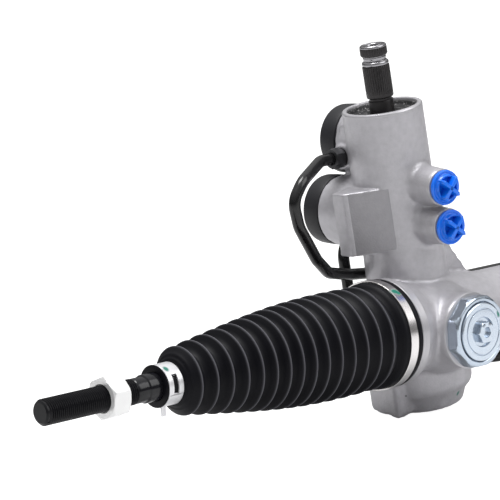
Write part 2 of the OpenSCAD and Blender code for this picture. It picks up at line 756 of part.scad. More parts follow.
module one_socket() {
  translate([-ball_x, 0, 0]) rotate([0, 90, 0]) difference() {
    rotate_extrude() difference() {
      polygon([
        [0, -16], [socket_r - 3, -16], [socket_r - 1, -14], [socket_r, -9], [socket_r, ball_reach - 3],
        [socket_r - 2, ball_reach - seat], [stud_r, ball_reach - seat],
        [stud_r, ball_reach + stud_length], [0, ball_reach + stud_length]]);
      circle(r = socket_bore_r);
      polygon([[0, -20], [15, -20], [12.4, -8.9], [0, -8.9]]);
      translate([-30, -50]) square([30, 100]);
    }
    for (a = [0, 180]) rotate([0, 0, a]) translate([socket_r - 1.5, -20, 2]) cube([5, 40, 9]);
  }
}

module ball_sockets() {
  color([0.3, 0.3, 0.32]) {
    one_socket();
    mirrored() one_socket();
  }
}

module one_seat() {
  translate([-ball_x, 0, 0]) rotate([0, 90, 0]) rotate_extrude() intersection() {
    difference() {
      circle(r = socket_bore_r - seat);
      circle(r = ball_r + gap);
    }
    translate([0, -8.8]) square([30, 60]);
  }
}

module ball_seats() {
  color([0.85, 0.84, 0.78]) {
    one_seat();
    mirrored() one_seat();
  }
}

module one_tie_rod() {
  end = tie_rod_length;
  thread = end - tie_thread_length;
  // Free end of the thread, past the jam nut
  free = end - jam_nut_place + jam_nut_height / 2 + gap;
  neck_r = 6.5;
  // Waisted shank inside the boot, thick again where the boot's collar holds it
  waist_r = shank_r - 1.4;
  grip = boot_reach - ball_x - 20;
  translate([-ball_x, 0, 0]) rotate([0, -90, 0]) {
    sphere(r = ball_r);
    rotate_extrude() polygon([
      [0, 0], [neck_r, 4], [neck_r, 20], [waist_r, 28], [waist_r, grip - 6], [shank_r, grip],
      [shank_r, thread - 1], [held_thread_r, thread],
      [held_thread_r, free], [tie_thread_r, free + 0.2], [tie_thread_r, end - 2], [tie_thread_r - 2, end], [0, end]]);
  }
}
module left_tie_rod() { color([0.08, 0.08, 0.09]) one_tie_rod(); }
module right_tie_rod() { color([0.08, 0.08, 0.09]) mirrored() one_tie_rod(); }

module one_jam_nut() {
  corner_r = jam_nut_flats / 2 / cos(30);
  h = jam_nut_height;
  translate([-rod_end_x + jam_nut_place, 0, 0]) rotate([0, 90, 0]) difference() {
    intersection() {
      rotate([0, 0, 10]) cylinder(r = corner_r, h = h, center = true, $fn = 6);
      rotate_extrude() polygon([
        [0, -h / 2], [corner_r - 1.8, -h / 2], [corner_r + 0.5, -h / 2 + 1.5],
        [corner_r + 0.5, h / 2 - 1.5], [corner_r - 1.8, h / 2], [0, h / 2]]);
    }
    cylinder(r = held_thread_r + run, h = h + 2, center = true);
    for (m = [0, 1]) mirror([0, 0, m]) translate([0, 0, h / 2 - 1])
      cylinder(r1 = held_thread_r, r2 = held_thread_r + 1.1, h = 1.1);
  }
}
module left_jam_nut() { color([0.82, 0.82, 0.80]) one_jam_nut(); }
module right_jam_nut() { color([0.82, 0.82, 0.80]) mirrored() one_jam_nut(); }

// Boots and clamps

function fold_x(k) = let (t = (k - 1) / (fold_count - 1))
  -first_fold_x + (first_fold_x - last_fold_x) * t + 1.9 * sin(360 * t) - 1.1 * sin(180 * t);
function fold_r(k) = first_fold_r + (widest_fold_r - first_fold_r) * sin(90 * (k - 1) / (fold_count * 0.8));
function valley_r(k) = min(fold_r(k), fold_r(k + 1)) - fold_depth;
function fold_points(inset) = [for (k = [1:fold_count]) each concat(
  [[fold_r(k) - 0.9 - inset, fold_x(k) - 1.3], [fold_r(k) - inset, fold_x(k)], [fold_r(k) - 0.9 - inset, fold_x(k) + 1.3]],
  k == fold_count ? [] : [[valley_r(k) - inset, (fold_x(k) + fold_x(k + 1)) / 2 - 0.8],
    [valley_r(k) - inset, (fold_x(k) + fold_x(k + 1)) / 2 + 0.8]])];

module one_boot() {
  lip = collar_r + 0.8;
  // Rolled edge that keeps the small clamp on
  rolled_r = small_collar_r + 1.2;
  rolled_w = 0.9;
  mouth_x = -housing_reach - 1.5;
  outside = concat(
    [[shank_r + gap, -boot_reach], [rolled_r - 0.5, -boot_reach], [rolled_r, -boot_reach + 0.4],
     [rolled_r, -boot_reach + rolled_w], [small_collar_r, -boot_reach + rolled_w],
     [small_collar_r, -boot_reach + 2 + small_clamp_w]],
    fold_points(0),
    [[fold_r(fold_count) - fold_depth, -last_fold_x + 5.2], [fold_r(fold_count) - fold_depth, -last_fold_x + 6.4],
     [collar_r, mouth_x - 2], [collar_r, -ring_outer_x - 5], [lip, -ring_outer_x - 4.6],
     [lip, -ring_outer_x - 0.8], [lip - 0.6, -ring_outer_x - 0.1], [spigot_r + seat, -ring_outer_x - 0.1]]);
  inside = concat(
    [[spigot_r + seat, mouth_x], [collar_r - boot_wall, mouth_x - 1.8],
     [fold_r(fold_count) - fold_depth - boot_wall, -last_fold_x + 6.0]],
    [for (i = [len(fold_points(0)) - 1:-1:0]) fold_points(boot_wall)[i]],
    [[small_collar_r - 2, -boot_reach + 2 + small_clamp_w], [shank_r + gap, -boot_reach + small_clamp_w]]);
  lathe_x(concat(outside, inside));
}
module left_boot() { color([0.05, 0.05, 0.055]) one_boot(); }
module right_boot() { color([0.05, 0.05, 0.055]) mirrored() one_boot(); }

module one_large_clamp() {
  x0 = -ring_outer_x - 5.2 - large_clamp_w;
  ring_x(x0, x0 + large_clamp_w, collar_r + 1.3, collar_r + seat);
  // Crimped ear on the far side
  translate([x0 + 0.6, 0, 0]) rotate([-95, 0, 0]) translate([0, -4, collar_r + 0.6]) difference() {
    cube([large_clamp_w - 1.2, 8, 4.6]);
    translate([-over, 1.3, -over]) cube([20, 5.4, 4.4]);
  }
}
module large_boot_clamps() {
  color([0.78, 0.78, 0.78]) {
    one_large_clamp();
    mirrored() one_large_clamp();
  }
}

module one_small_clamp() {
  x0 = -boot_reach + 1.2;
  r = small_collar_r + seat;
  difference() {
    ring_x(x0, x0 + small_clamp_w, r + 1, r);
    translate([x0 + 3.6, -r - 3, -4]) cube([4, 6, 11]);
  }
  // Tang of the spring band
  translate([x0 + 0.4, -3.6, -r - 6.4]) cube([3.8, 1, 6.2]);
}
module left_small_clamp() { color([0.85, 0.85, 0.84]) one_small_clamp(); }
module right_small_clamp() { color([0.85, 0.85, 0.84]) mirrored() one_small_clamp(); }

// Port plugs

module port_plug(s) {
  rib = 3;
  on_port(s, port_reach + 0.05) {
    translate([0, 0, -9]) cylinder(r = port_thread_r - gap, h = 9.5);
    cylinder(r = port_r - 0.5, h = 3);
    cylinder(r = 5, h = 8);
    translate([0, 0, 2]) cylinder(r = 8.6, h = 3.4);
    for (a = [45, 135]) rotate([0, 0, a]) translate([-9, -rib / 2, 2]) cube([18, rib, 7]);
  }
}
module upper_port_plug() { color([0.02, 0.35, 0.9]) port_plug(upper_port_s); }
module lower_port_plug() { color([0.02, 0.35, 0.9]) port_plug(lower_port_s); }

// Pipes

// Smooth path through corner points: each corner becomes an arc of bend_r or less
function unit(v) = v / norm(v);
function corner_arc(a, b, c, r) =
  let (u = unit(a - b), w = unit(c - b), half = acos(max(-1, min(1, u * w))) / 2,
       cut = min(r / tan(half), 0.48 * norm(a - b), 0.48 * norm(c - b)), rr = cut * tan(half),
       mid = b + unit(u + w) * rr / sin(half), n = max(2, ceil((180 - 2 * half) / 22)),
       e0 = unit(b + u * cut - mid), e1 = unit(b + w * cut - mid), turn = 180 - 2 * half)
  [for (i = [0:n]) mid + rr * (e0 * sin(turn * (1 - i / n)) + e1 * sin(turn * i / n)) / sin(turn)];
function rounded(p, r) = concat([p[0]], [for (i = [1:len(p) - 2]) each corner_arc(p[i - 1], p[i], p[i + 1], r)],
  [p[len(p) - 1]]);

// Tube swept along points, with the cross-section carried on without twist
function heading(p, i) = unit(p[min(i + 1, len(p) - 1)] - p[max(i - 1, 0)]);
function side_start(d) = unit(cross(d, abs(d[2]) < 0.9 ? [0, 0, 1] : [0, 1, 0]));
function carry(p, i, n) = i == len(p) ? [] :
  let (d = heading(p, i), m = unit(n - (n * d) * d)) concat([m], carry(p, i + 1, m));
module swept_tube(p, r, sides) {
  n = carry(p, 0, side_start(heading(p, 0)));
  rings = [for (i = [0:len(p) - 1]) let (d = heading(p, i), m = cross(d, n[i]))
    for (k = [0:sides - 1]) p[i] + r * (n[i] * cos(360 * k / sides) + m * sin(360 * k / sides))];
  last = (len(p) - 1) * sides;
  polyhedron(points = rings, faces = concat(
    [[for (k = [0:sides - 1]) k]],
    [for (i = [0:len(p) - 2], k = [0:sides - 1]) let (a = i * sides + k, b = i * sides + (k + 1) % sides)
      [a, a + sides, b + sides, b]],
    [[for (k = [sides - 1:-1:0]) last + k]]), convexity = 6);
}

function out_of_tube(x, up, d) = [x, d * cos(up), d * sin(up)];
near_route = [
  near_nut - [2, 0, 0], near_nut - [18, 0, 0], [-79, 34, 101], [-88, 34, 89],
  [-84, 34, 72], [-66, 38, 48], [-52, 42, 37], [-28, 47, 32], [0, 50, 29], [40, 40, 22], [60, 33, 17.7],
  [near_port_x - 24, 33, 17.7], out_of_tube(near_port_x, near_port_up, 60),
  out_of_tube(near_port_x, near_port_up, cylinder_r + 12)];
far_route = [
  far_nut + [0, 2, 0], far_nut + [0, 17, 0], [-20, 61, 48.5],
  [-19.7, 57, 20], [-14, 56, -16], [24, 55, -34], [66, 26, -39], [104, 12, -39], [150, 12, -39], [190, 33, -17.7],
  [far_port_x - 24, 33, -17.7], out_of_tube(far_port_x, far_port_up, 60),
  out_of_tube(far_port_x, far_port_up, cylinder_r + 12)];

module near_pipe() { color([0.05, 0.05, 0.05]) swept_tube(rounded(near_route, bend_r), pipe_r, 12); }
module far_pipe() { color([0.05, 0.05, 0.05]) swept_tube(rounded(far_route, bend_r), pipe_r, 12); }

module one_nut() {
  difference() {
    union() {
      cylinder(r = nut_r, h = nut_len, $fn = 6);
      translate([0, 0, -6]) cylinder(r = 5.4, h = 7);
    }
    translate([0, 0, -7]) cylinder(r = pipe_r + seat, h = 30);
  }
}
module pipe_nuts() {
  color([0.1, 0.1, 0.1]) {
    translate(near_nut - [0.1, 0, 0]) rotate([0, -90, 0]) one_nut();
    translate(far_nut + [0, 0.1, 0]) rotate([-90, 0, 0]) one_nut();
    translate([near_port_x, 0, 0]) rotate([near_port_up - 90, 0, 0]) translate([0, 0, cylinder_r + 10.1]) one_nut();
    translate([far_port_x, 0, 0]) rotate([far_port_up - 90, 0, 0]) translate([0, 0, cylinder_r + 10.1]) one_nut();
  }
}

module pipe_clip() {
  x = 400;
  color([0.12, 0.12, 0.13]) translate([x, 0, 0]) difference() {
    union() {
      rod_x(-6, 6, cylinder_r + 2);
      translate([-6, 20, -25]) cube([12, 4, 20]);
    }
    rod_x(-7, 7, cylinder_r + seat);
    translate([0, 33, -17.7]) rod_x(-7, 7, pipe_r + seat);
  }
}

placed() gear_housing();
placed() cylinder_tube();
placed() end_housing();
placed() far_mount_bracket();
placed() mount_bushes();
placed() mount_cores();
placed() rack_guide();
placed() guide_spring();
placed() adjusting_plug();
placed() adjusting_lock_nut();
placed() bottom_cap();
placed() bearing_outer_rings();
placed() bearing_inner_rings();
placed() bearing_balls();
placed() pinion_seal();
placed() pinion_nut();
placed() pinion();
placed() valve_sleeve();
placed() valve_rings();
placed() input_bearing();
placed() shaft_seal();
placed() snap_ring();
placed() dust_cover();
placed() torsion_bar();
placed() torsion_pin();
placed() input_shaft();
placed() rack_bar();
placed() rack_bushes();
placed() cylinder_seals();
placed() piston();
placed() piston_ring();
placed() lock_washers();
placed() ball_sockets();
placed() ball_seats();
placed() left_tie_rod();
placed() right_tie_rod();
placed() left_jam_nut();
placed() right_jam_nut();
placed() left_boot();
placed() right_boot();
placed() large_boot_clamps();
placed() left_small_clamp();
placed() right_small_clamp();
placed() upper_port_plug();
placed() lower_port_plug();
placed() near_pipe();
placed() far_pipe();
placed() pipe_nuts();
placed() pipe_clip();
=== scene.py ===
"""Looks of a rack-and-pinion power steering gear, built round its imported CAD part.

Sizes are in millimetres in the frame of the CAD source, where the rack axis is X
and the pinion axis passes through its origin. The matrix RACK carries them to the row frame.
"""

from math import acos, ceil, cos, degrees, hypot, pi, radians, sin, tan

import bmesh
import bpy
from bpy.props import FloatProperty, FloatVectorProperty, IntProperty, PointerProperty
from mathutils import Matrix, Vector
from mathutils.bvhtree import BVHTree


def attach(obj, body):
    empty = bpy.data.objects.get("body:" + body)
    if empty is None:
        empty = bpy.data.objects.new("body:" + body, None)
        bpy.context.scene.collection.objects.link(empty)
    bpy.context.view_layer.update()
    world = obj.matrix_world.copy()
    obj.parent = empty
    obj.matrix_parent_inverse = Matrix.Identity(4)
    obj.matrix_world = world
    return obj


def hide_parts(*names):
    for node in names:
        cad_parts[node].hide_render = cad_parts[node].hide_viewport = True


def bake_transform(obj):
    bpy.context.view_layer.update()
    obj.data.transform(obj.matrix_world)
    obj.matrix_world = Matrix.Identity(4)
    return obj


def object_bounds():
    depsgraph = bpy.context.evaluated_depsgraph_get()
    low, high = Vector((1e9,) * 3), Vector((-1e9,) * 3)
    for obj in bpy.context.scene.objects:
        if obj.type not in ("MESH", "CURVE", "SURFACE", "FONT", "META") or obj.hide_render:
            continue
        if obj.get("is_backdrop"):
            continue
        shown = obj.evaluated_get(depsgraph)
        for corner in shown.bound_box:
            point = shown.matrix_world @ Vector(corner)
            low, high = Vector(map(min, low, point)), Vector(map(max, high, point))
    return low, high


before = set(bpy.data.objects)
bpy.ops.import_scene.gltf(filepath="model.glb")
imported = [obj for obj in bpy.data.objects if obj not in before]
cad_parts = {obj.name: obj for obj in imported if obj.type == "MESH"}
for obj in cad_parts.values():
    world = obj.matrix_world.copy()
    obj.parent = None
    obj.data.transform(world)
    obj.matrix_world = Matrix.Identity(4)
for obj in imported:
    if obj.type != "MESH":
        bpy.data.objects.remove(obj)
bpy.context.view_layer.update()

bl_info = {
    "name": "Power steering gear",
    "version": (1, 0, 0),
    "blender": (4, 5, 0),
    "location": "3D View > Sidebar > Steering gear",
    "description": "Builds the looks of a power steering gear round its CAD part",
    "category": "Add Mesh",
}

MM = 0.001
WHITE = (1, 1, 1, 1)
# The row frame's origin in the source's frame, in millimetres
ORIGIN = Vector((-24.5, 71, 74.5))
RACK = Matrix.Scale(MM, 4) @ Matrix.Translation(-ORIGIN)
# Middle of the gear along the rack, and lean of the pinion in degrees
MID_X = 259.0
LEAN = 8.1
# Place of each mounting bush along the rack and upward, and each port's along the pinion
MOUNTS = {"lower": (-24.5, 74.5), "upper": (-6, 119.5), "far": (470, 56)}
PORTS = {"upper": 93.7, "lower": 67.4}
SIDES = ("left", "right")


# Frames of the parts


def turned(axis, angle):
    return Matrix.Rotation(radians(angle), 4, axis)


def shifted(x, y, z):
    return Matrix.Translation((x, y, z))


def mirrored(side):
    """Nothing for the left end, and its mirror image for the right end."""
    if side == "left":
        return Matrix()
    return shifted(2 * MID_X, 0, 0) @ Matrix.Scale(-1, 4, (1, 0, 0))


def side_frame(side):
    """The source's frame, mirrored for the right end."""
    return RACK @ mirrored(side)


def along_x(side):
    """Local Z runs along the rack axis."""
    return side_frame(side) @ turned("Y", 90)


PINION = RACK @ shifted(0, 17, 0) @ turned("Y", -LEAN)
YOKE = RACK @ shifted(-2, 0, -2) @ turned("X", 90)


def port_frame(name):
    """Local Z runs out of a fluid port, from the side step of the pinion axis."""
    return PINION @ shifted(4.6, 0, PORTS[name]) @ turned("Z", -7) @ turned("X", 90)


def mount_frame(name):
    """Local Z runs back along a mounting bush."""
    x, z = MOUNTS[name]
    return RACK @ shifted(x, 0, z) @ turned("X", -90)


# Meshes


def linked(name, data):
    """A new object of the scene."""
    obj = bpy.data.objects.new(name, data)
    bpy.context.scene.collection.objects.link(obj)
    return obj


def as_object(bm, name):
    """Moves a bmesh into a new mesh object."""
    mesh = bpy.data.meshes.new(name)
    bm.to_mesh(mesh)
    bm.free()
    return linked(name, mesh)


def finish(bm, name, place, sharp=32.0):
    """Places a mesh in millimetres in the row frame, with its normals outward."""
    bm.transform(place)
    bmesh.ops.recalc_face_normals(bm, faces=bm.faces)
    obj = as_object(bm, name)
    obj.data.shade_smooth()
    obj.data.set_sharp_from_angle(angle=radians(sharp))
    return obj


def pairs(items, closed):
    """Neighbours in a list, and the last with the first where it is closed."""
    return list(zip(items, items[1:] + items[:1] if closed else items[1:]))


def raised(height, profile):
    """A profile moved up along its axis."""
    return [(r, height + h) for r, h in profile]


def lathe_into(bm, profile, steps=96, closed=False, place=Matrix(), layer=None):
    """Spins a profile of (radius, height), and a layer's value, about the local Z axis."""
    before = set(bm.verts)
    verts = [bm.verts.new((r, 0, h)) for r, h, *_ in profile]
    for vert, (_, _, *value) in zip(verts, profile):
        if value:
            vert[layer] = value[0]
    edges = [bm.edges.new(pair) for pair in pairs(verts, closed)]
    bmesh.ops.spin(bm, geom=verts + edges, cent=(0, 0, 0), axis=(0, 0, 1),
                   angle=2 * pi, steps=steps, use_merge=True)
    made = [v for v in bm.verts if v not in before]
    bmesh.ops.remove_doubles(bm, verts=made, dist=1e-4)
    made = [v for v in bm.verts if v not in before]
    bmesh.ops.transform(bm, matrix=place, verts=made)


def lathe(name, profile, place, steps=96, closed=False, sharp=32.0):
    bm = bmesh.new()
    lathe_into(bm, profile, steps, closed)
    return finish(bm, name, place, sharp)


def join_rows(bm, rows, closed=False):
    """Lays faces between rings of points, and closes both ends of an open tube."""
    for low, high in pairs(rows, closed):
        for (a, b), (d, c) in zip(pairs(low, True), pairs(high, True)):
            bm.faces.new((a, b, c, d))
    if not closed:
        bm.faces.new(rows[0])
        bm.faces.new(rows[-1])


def rings_into(bm, levels, steps, closed=False, place=Matrix()):
    """Joins rings of points, each given by a radius at an angle and a height."""
    rows = []
    for radius, height in levels:
        row = []
        for k in range(steps):
            a = 2 * pi * k / steps
            r = radius(a) if callable(radius) else radius
            row.append(bm.verts.new(place @ Vector((r * cos(a), r * sin(a), height))))
        rows.append(row)
    join_rows(bm, rows, closed)


def rings(name, levels, place, steps, closed=False, sharp=32.0):
    bm = bmesh.new()
    rings_into(bm, levels, steps, closed)
    return finish(bm, name, place, sharp)


def box_into(bm, size, place, bevel):
    """A block with rounded edges, its corner at the local origin."""
    made = bmesh.ops.create_cube(bm, size=1)["verts"]
    fit = place @ Matrix.Diagonal((*size, 1)) @ shifted(0.5, 0.5, 0.5)
    bmesh.ops.transform(bm, matrix=fit, verts=made)
    edges = list({e for v in made for e in v.link_edges})
    bmesh.ops.bevel(bm, geom=edges, offset=bevel, segments=2, profile=0.5,
                    affect="EDGES", material=-1)


def polygon(sides, flats, turn=0.0):
    """A regular polygon whose corners are cut at a radius, as its radius at an angle."""
    step = 2 * pi / sides

    def cut_at(limit):
        def radius(a):
            off = (a - radians(turn)) % step - step / 2
            return min(flats / 2 / cos(off), limit)
        return radius

    return cut_at


def ribbed(root, height, count, slope, gap):
    """A round with even ribs and straight flanks, as its radius at an angle."""
    def radius(a):
        t = (a * count / (2 * pi)) % 1
        return root + height * min(1, max(0, slope * abs(2 * t - 1) - gap))

    return radius


def corner_arc(a, b, c, r, step):
    """Points of the rounded corner b between a and c."""
    u, w = (a - b).normalized(), (c - b).normalized()
    half = acos(max(-1, min(1, u.dot(w)))) / 2
    cut = min(r / tan(half), 0.48 * (a - b).length, 0.48 * (c - b).length)
    rr = cut * tan(half)
    mid = b + (u + w).normalized() * rr / sin(half)
    turn = pi - 2 * half
    n = max(2, ceil(degrees(turn) / step))
    e0, e1 = (b + u * cut - mid).normalized(), (b + w * cut - mid).normalized()
    return [mid + rr * (e0 * sin(turn * (1 - i / n)) + e1 * sin(turn * i / n))
            / sin(turn) for i in range(n + 1)]


def rounded_route(points, r, step=6.0):
    """A route through points, with its corners rounded in steps of some degrees."""
    points = [Vector(p) for p in points]
    out = [points[0]]
    for a, b, c in zip(points, points[1:], points[2:]):
        out += corner_arc(a, b, c, r, step)
    return out + [points[-1]]


def tube_into(bm, path, r, sides=24):
    """Sweeps a circle along a path without twist, and closes its ends."""
    last = len(path) - 1
    heads = [(path[min(i + 1, last)] - path[max(i - 1, 0)]).normalized() for i in range(last + 1)]
    up = Vector((0, 0, 1)) if abs(heads[0].z) < 0.9 else Vector((0, 1, 0))
    side = heads[0].cross(up).normalized()
    rows = []
    for p, d in zip(path, heads):
        side = (side - side.dot(d) * d).normalized()
        other = d.cross(side)
        row = []
        for k in range(sides):
            a = 2 * pi * k / sides
            row.append(bm.verts.new(p + r * (side * cos(a) + other * sin(a))))
        rows.append(row)
    join_rows(bm, rows)


def copied(node):
    """A merged copy of a CAD node's mesh, as a new object."""
    bm = bmesh.new()
    bm.from_mesh(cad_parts[node].data)
    bmesh.ops.remove_doubles(bm, verts=bm.verts, dist=1e-6)
    return as_object(bm, node + "_copy")


def apply_modifiers(obj):
    """Puts the mesh that its modifiers make into the object, and removes them."""
    bpy.context.view_layer.update()
    graph = bpy.context.evaluated_depsgraph_get()
    mesh = bpy.data.meshes.new_from_object(obj.evaluated_get(graph))
    obj.modifiers.clear()
    obj.data = mesh


def coat(mesh, key):
    """Gives a mesh one of the finishes."""
    mesh.materials.clear()
    mesh.materials.append(finishes[key])


def put(obj, body, slot, key, *nodes):
    """Gives a piece its finish and body, and hides the nodes that it stands for. The slot is not
    used.
    """
    coat(obj.data, key)
    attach(obj, body)
    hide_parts(*nodes)


# Materials


def feed(tree, socket, value):
    """Links an output to a socket, or gives the socket a plain value."""
    if isinstance(value, bpy.types.NodeSocket):
        tree.links.new(value, socket)
    else:
        socket.default_value = value


def held(socket):
    """What a socket is fed with, to be passed on."""
    return socket.links[0].from_socket if socket.is_linked else socket.default_value


def add_node(tree, kind, inputs=None, **settings):
    """Adds a shader node with its settings and inputs."""
    node = tree.nodes.new("ShaderNode" + kind)
    for key, value in settings.items():
        setattr(node, key, value)
    for key, value in (inputs or {}).items():
        feed(tree, node.inputs[key], value)
    return node


def shaded(name, colour, **values):
    """A new Principled material, its node tree and its shader."""
    material = bpy.data.materials.new(name)
    material.use_nodes = True
    shader = material.node_tree.nodes["Principled BSDF"]
    shader.inputs["Base Color"].default_value = (*colour, 1)
    for label, value in values.items():
        shader.inputs[label.replace("_", " ")].default_value = value
    return material, material.node_tree, shader


def grain_group():
    """Two scales of noise: mottling for the colour, and grain for a bump."""
    name = "Surface grain"
    if name in bpy.data.node_groups:
        return bpy.data.node_groups[name]
    tree = bpy.data.node_groups.new(name, "ShaderNodeTree")
    noises = (("Mottle", 60, 4), ("Grain", 900, 3))
    for out, scale, _ in noises:
        socket = tree.interface.new_socket(out + " scale", in_out="INPUT",
                                           socket_type="NodeSocketFloat")
        socket.default_value = scale
        tree.interface.new_socket(out, in_out="OUTPUT", socket_type="NodeSocketFloat")
    start, end = tree.nodes.new("NodeGroupInput"), tree.nodes.new("NodeGroupOutput")
    coords = add_node(tree, "TexCoord")
    for out, _, detail in noises:
        noise = add_node(tree, "TexNoise", {
            "Detail": detail, "Vector": coords.outputs["Object"],
            "Scale": start.outputs[out + " scale"]})
        feed(tree, end.inputs[out], noise.outputs["Fac"])
    return tree


class Finish:
    """A Principled material with grain, and masks that mix a second look into it."""

    BUMP_DEPTH = 0.0002
    SPOT_CORE = 0.5

    def __init__(self, name, colour, metallic, roughness, specular=0.5, bump=0, mottle=0,
                 mottle_scale=60, grain_scale=900):
        self.material, self.tree, self.shader = shaded(
            name, colour, Metallic=metallic, Roughness=roughness, Specular_IOR_Level=specular)
        self.grain = add_node(self.tree, "Group", {
            "Mottle scale": mottle_scale, "Grain scale": grain_scale}, node_tree=grain_group())
        if mottle:
            low, high = (tuple(c * (1 + s * mottle) for c in colour) + (1,) for s in (-1, 1))
            self.mix(self.grain.outputs["Mottle"], "Base Color", high, low)
        if bump:
            relief = add_node(self.tree, "Bump", {
                "Strength": bump, "Distance": self.BUMP_DEPTH,
                "Height": self.grain.outputs["Grain"]})
            feed(self.tree, self.shader.inputs["Normal"], relief.outputs["Normal"])

    def mix(self, mask, label, high, low=None):
        """Mixes a colour by a mask with a second one, or with what is on the socket already."""
        target = self.shader.inputs[label]
        node = add_node(self.tree, "Mix", data_type="RGBA")
        sockets = {s.identifier: s for s in (*node.inputs, *node.outputs)}
        feed(self.tree, sockets["A_Color"], low or held(target))
        feed(self.tree, sockets["B_Color"], high)
        feed(self.tree, sockets["Factor_Float"], mask)
        feed(self.tree, target, sockets["Result_Color"])

    def mix_value(self, mask, label, high):
        """Moves a number from its own value to another by a mask."""
        target = self.shader.inputs[label]
        node = add_node(self.tree, "MapRange", {
            "Value": mask, "To Min": held(target), "To Max": high})
        feed(self.tree, target, node.outputs["Result"])

    def attribute(self, name):
        return add_node(self.tree, "Attribute", attribute_name=name).outputs["Fac"]

    def spot(self, centre, half):
        """A mask that is 1 inside an ellipsoid at a point of the source's frame."""
        scale = [1 / (h * MM) for h in half]
        place = [-m * s for m, s in zip(RACK @ Vector(centre), scale)]
        coords = add_node(self.tree, "TexCoord")
        move = add_node(self.tree, "Mapping", {
            "Vector": coords.outputs["Object"], "Scale": scale, "Location": place},
            vector_type="POINT")
        length = add_node(self.tree, "VectorMath", {0: move.outputs["Vector"]},
                          operation="LENGTH")
        edge = add_node(self.tree, "MapRange", {
            "Value": length.outputs["Value"], "From Min": 1, "From Max": self.SPOT_CORE})
        return edge.outputs["Result"]

    def paint(self, centre, half, colour):
        """A dab of paint."""
        mask = self.spot(centre, half)
        self.mix(mask, "Base Color", (*colour, 1))
        self.mix_value(mask, "Metallic", 0)


PAINT, DARK_DOT = (0.012, 0.15, 0.11), (0.03, 0.03, 0.03)
# Dabs of inspection paint: finish, centre and half sizes in the source's frame, and colour
DABS = (
    ("cast", (10, -10.5, -48.3), (1.7, 3, 2.4), PAINT),
    ("cast", (-24.1, 4.4, -45.6), (1.2, 1.2, 1.2), DARK_DOT),
    ("zinc", (13.2, -46.5, 8), (2, 3, 3.4), PAINT),
    ("band", (-54, -18.6, 29.9), (4.2, 4.4, 2.4), PAINT),
    ("band", (-52.4, -20.6, 28.9), (2.4, 3.4, 2), PAINT),
    ("small_band", (-239.2, -7.2, 11), (2.2, 3, 2.6), PAINT),
)
finishes = {}


def make_finishes(look):
    # Name, colour, metallic, roughness, specular, bump, mottle, mottle scale, grain scale
    made = {key: Finish(*values) for key, values in {
        "cast": ("cast_aluminium", look.casting_colour, 0.45, 0.42, 0.5, 0.9, 0.16, 240, 850),
        "machined": ("machined_alloy", (0.43, 0.423, 0.443), 0.5, 0.34, 0.5, 0, 0.04),
        # The block's front plate is darker than the casting: painted shade.
        "pad": ("cast_pad", (0.29, 0.284, 0.301), 0.3, 0.5, 0.5, 0.8, 0.12, 240, 850),
        "tube": ("steel_tube", (0.5, 0.495, 0.52), 0.5, 0.42, 0.5, 0.05, 0.05),
        "rubber": ("boot_rubber", look.rubber_colour, 0, 0.5, 0.13, 0.1, 0.25, 90),
        "bushes": ("bush_rubber", (0.01, 0.01, 0.0125), 0, 0.5, 0.3, 0.1, 0.2),
        "seal": ("seal_rubber", (0.008, 0.008, 0.009), 0, 0.5, 0.25, 0.3, 0, 60, 700),
        "zinc": ("zinc_steel", (0.52, 0.58, 0.66), 0.9, 0.25, 0.5, 0.12, 0.08, 160, 1800),
        # The lock nut's zinc is darker than the plug's: painted shade for its dark flats.
        "octagon": ("zinc_nut", (0.45, 0.51, 0.59), 0.92, 0.2, 0.5, 0.12, 0.1, 160, 1800),
        "nut": ("white_zinc", (0.74, 0.74, 0.74), 0.4, 0.34, 0.5, 0.06, 0.05),
        "band": ("clamp_steel", (0.68, 0.66, 0.66), 1, 0.24, 0.5, 0.05, 0.05, 60, 2500),
        "small_band": ("small_clamp_steel", (0.66, 0.66, 0.68), 0.5, 0.32, 0.5, 0, 0.05),
        "black_rod": ("black_rod", (0.006, 0.006, 0.008), 0, 0.17, 0.3, 0, 0.3),
        "black_thread": ("black_thread", (0.0045, 0.0045, 0.006), 0, 0.34, 0.18, 0, 0.2),
        "pipe": ("pipe_paint", (0.007, 0.007, 0.0075), 0, 0.22, 0.4, 0.06),
        "shaft": ("dark_shaft", (0.038, 0.036, 0.037), 0.8, 0.34, 0.5, 0.06, 0.2),
        "bright": ("bright_steel", (0.28, 0.276, 0.29), 1, 0.24, 0.5, 0, 0.12),
        "dark": ("dark_steel", (0.045, 0.045, 0.048), 0.6, 0.4, 0.5, 0, 0.15),
        "cap": ("cap_plastic", look.cap_colour, 0, 0.28, 0.5, 0, 0.04),
        "guide": ("guide_alloy", (0.5, 0.5, 0.52), 0.8, 0.4),
        "ptfe": ("ptfe", (0.16, 0.1, 0.06), 0, 0.5),
        "seat": ("seat_plastic", (0.68, 0.66, 0.58), 0, 0.45),
    }.items()}
    rubber, seal = made["rubber"], made["seal"]
    # Lighter crest lines on the boots: partly wear, partly painted highlight on the sharp fold
    # edges.
    crest = rubber.attribute("crest")
    rubber.mix(crest, "Base Color", (*look.crest_wear_and_highlight_colour, 1))
    rubber.mix_value(crest, "Roughness", 0.7)
    specks = add_node(seal.tree, "MapRange", {
        "Value": seal.grain.outputs["Grain"], "From Min": 0.6, "From Max": 0.7})
    seal.mix(specks.outputs["Result"], "Base Color", (0.35, 0.34, 0.34, 1))
    for key, centre, half, colour in DABS:
        made[key].paint(centre, half, colour)
    finishes.update({key: made[key].material for key in made})


# Settings


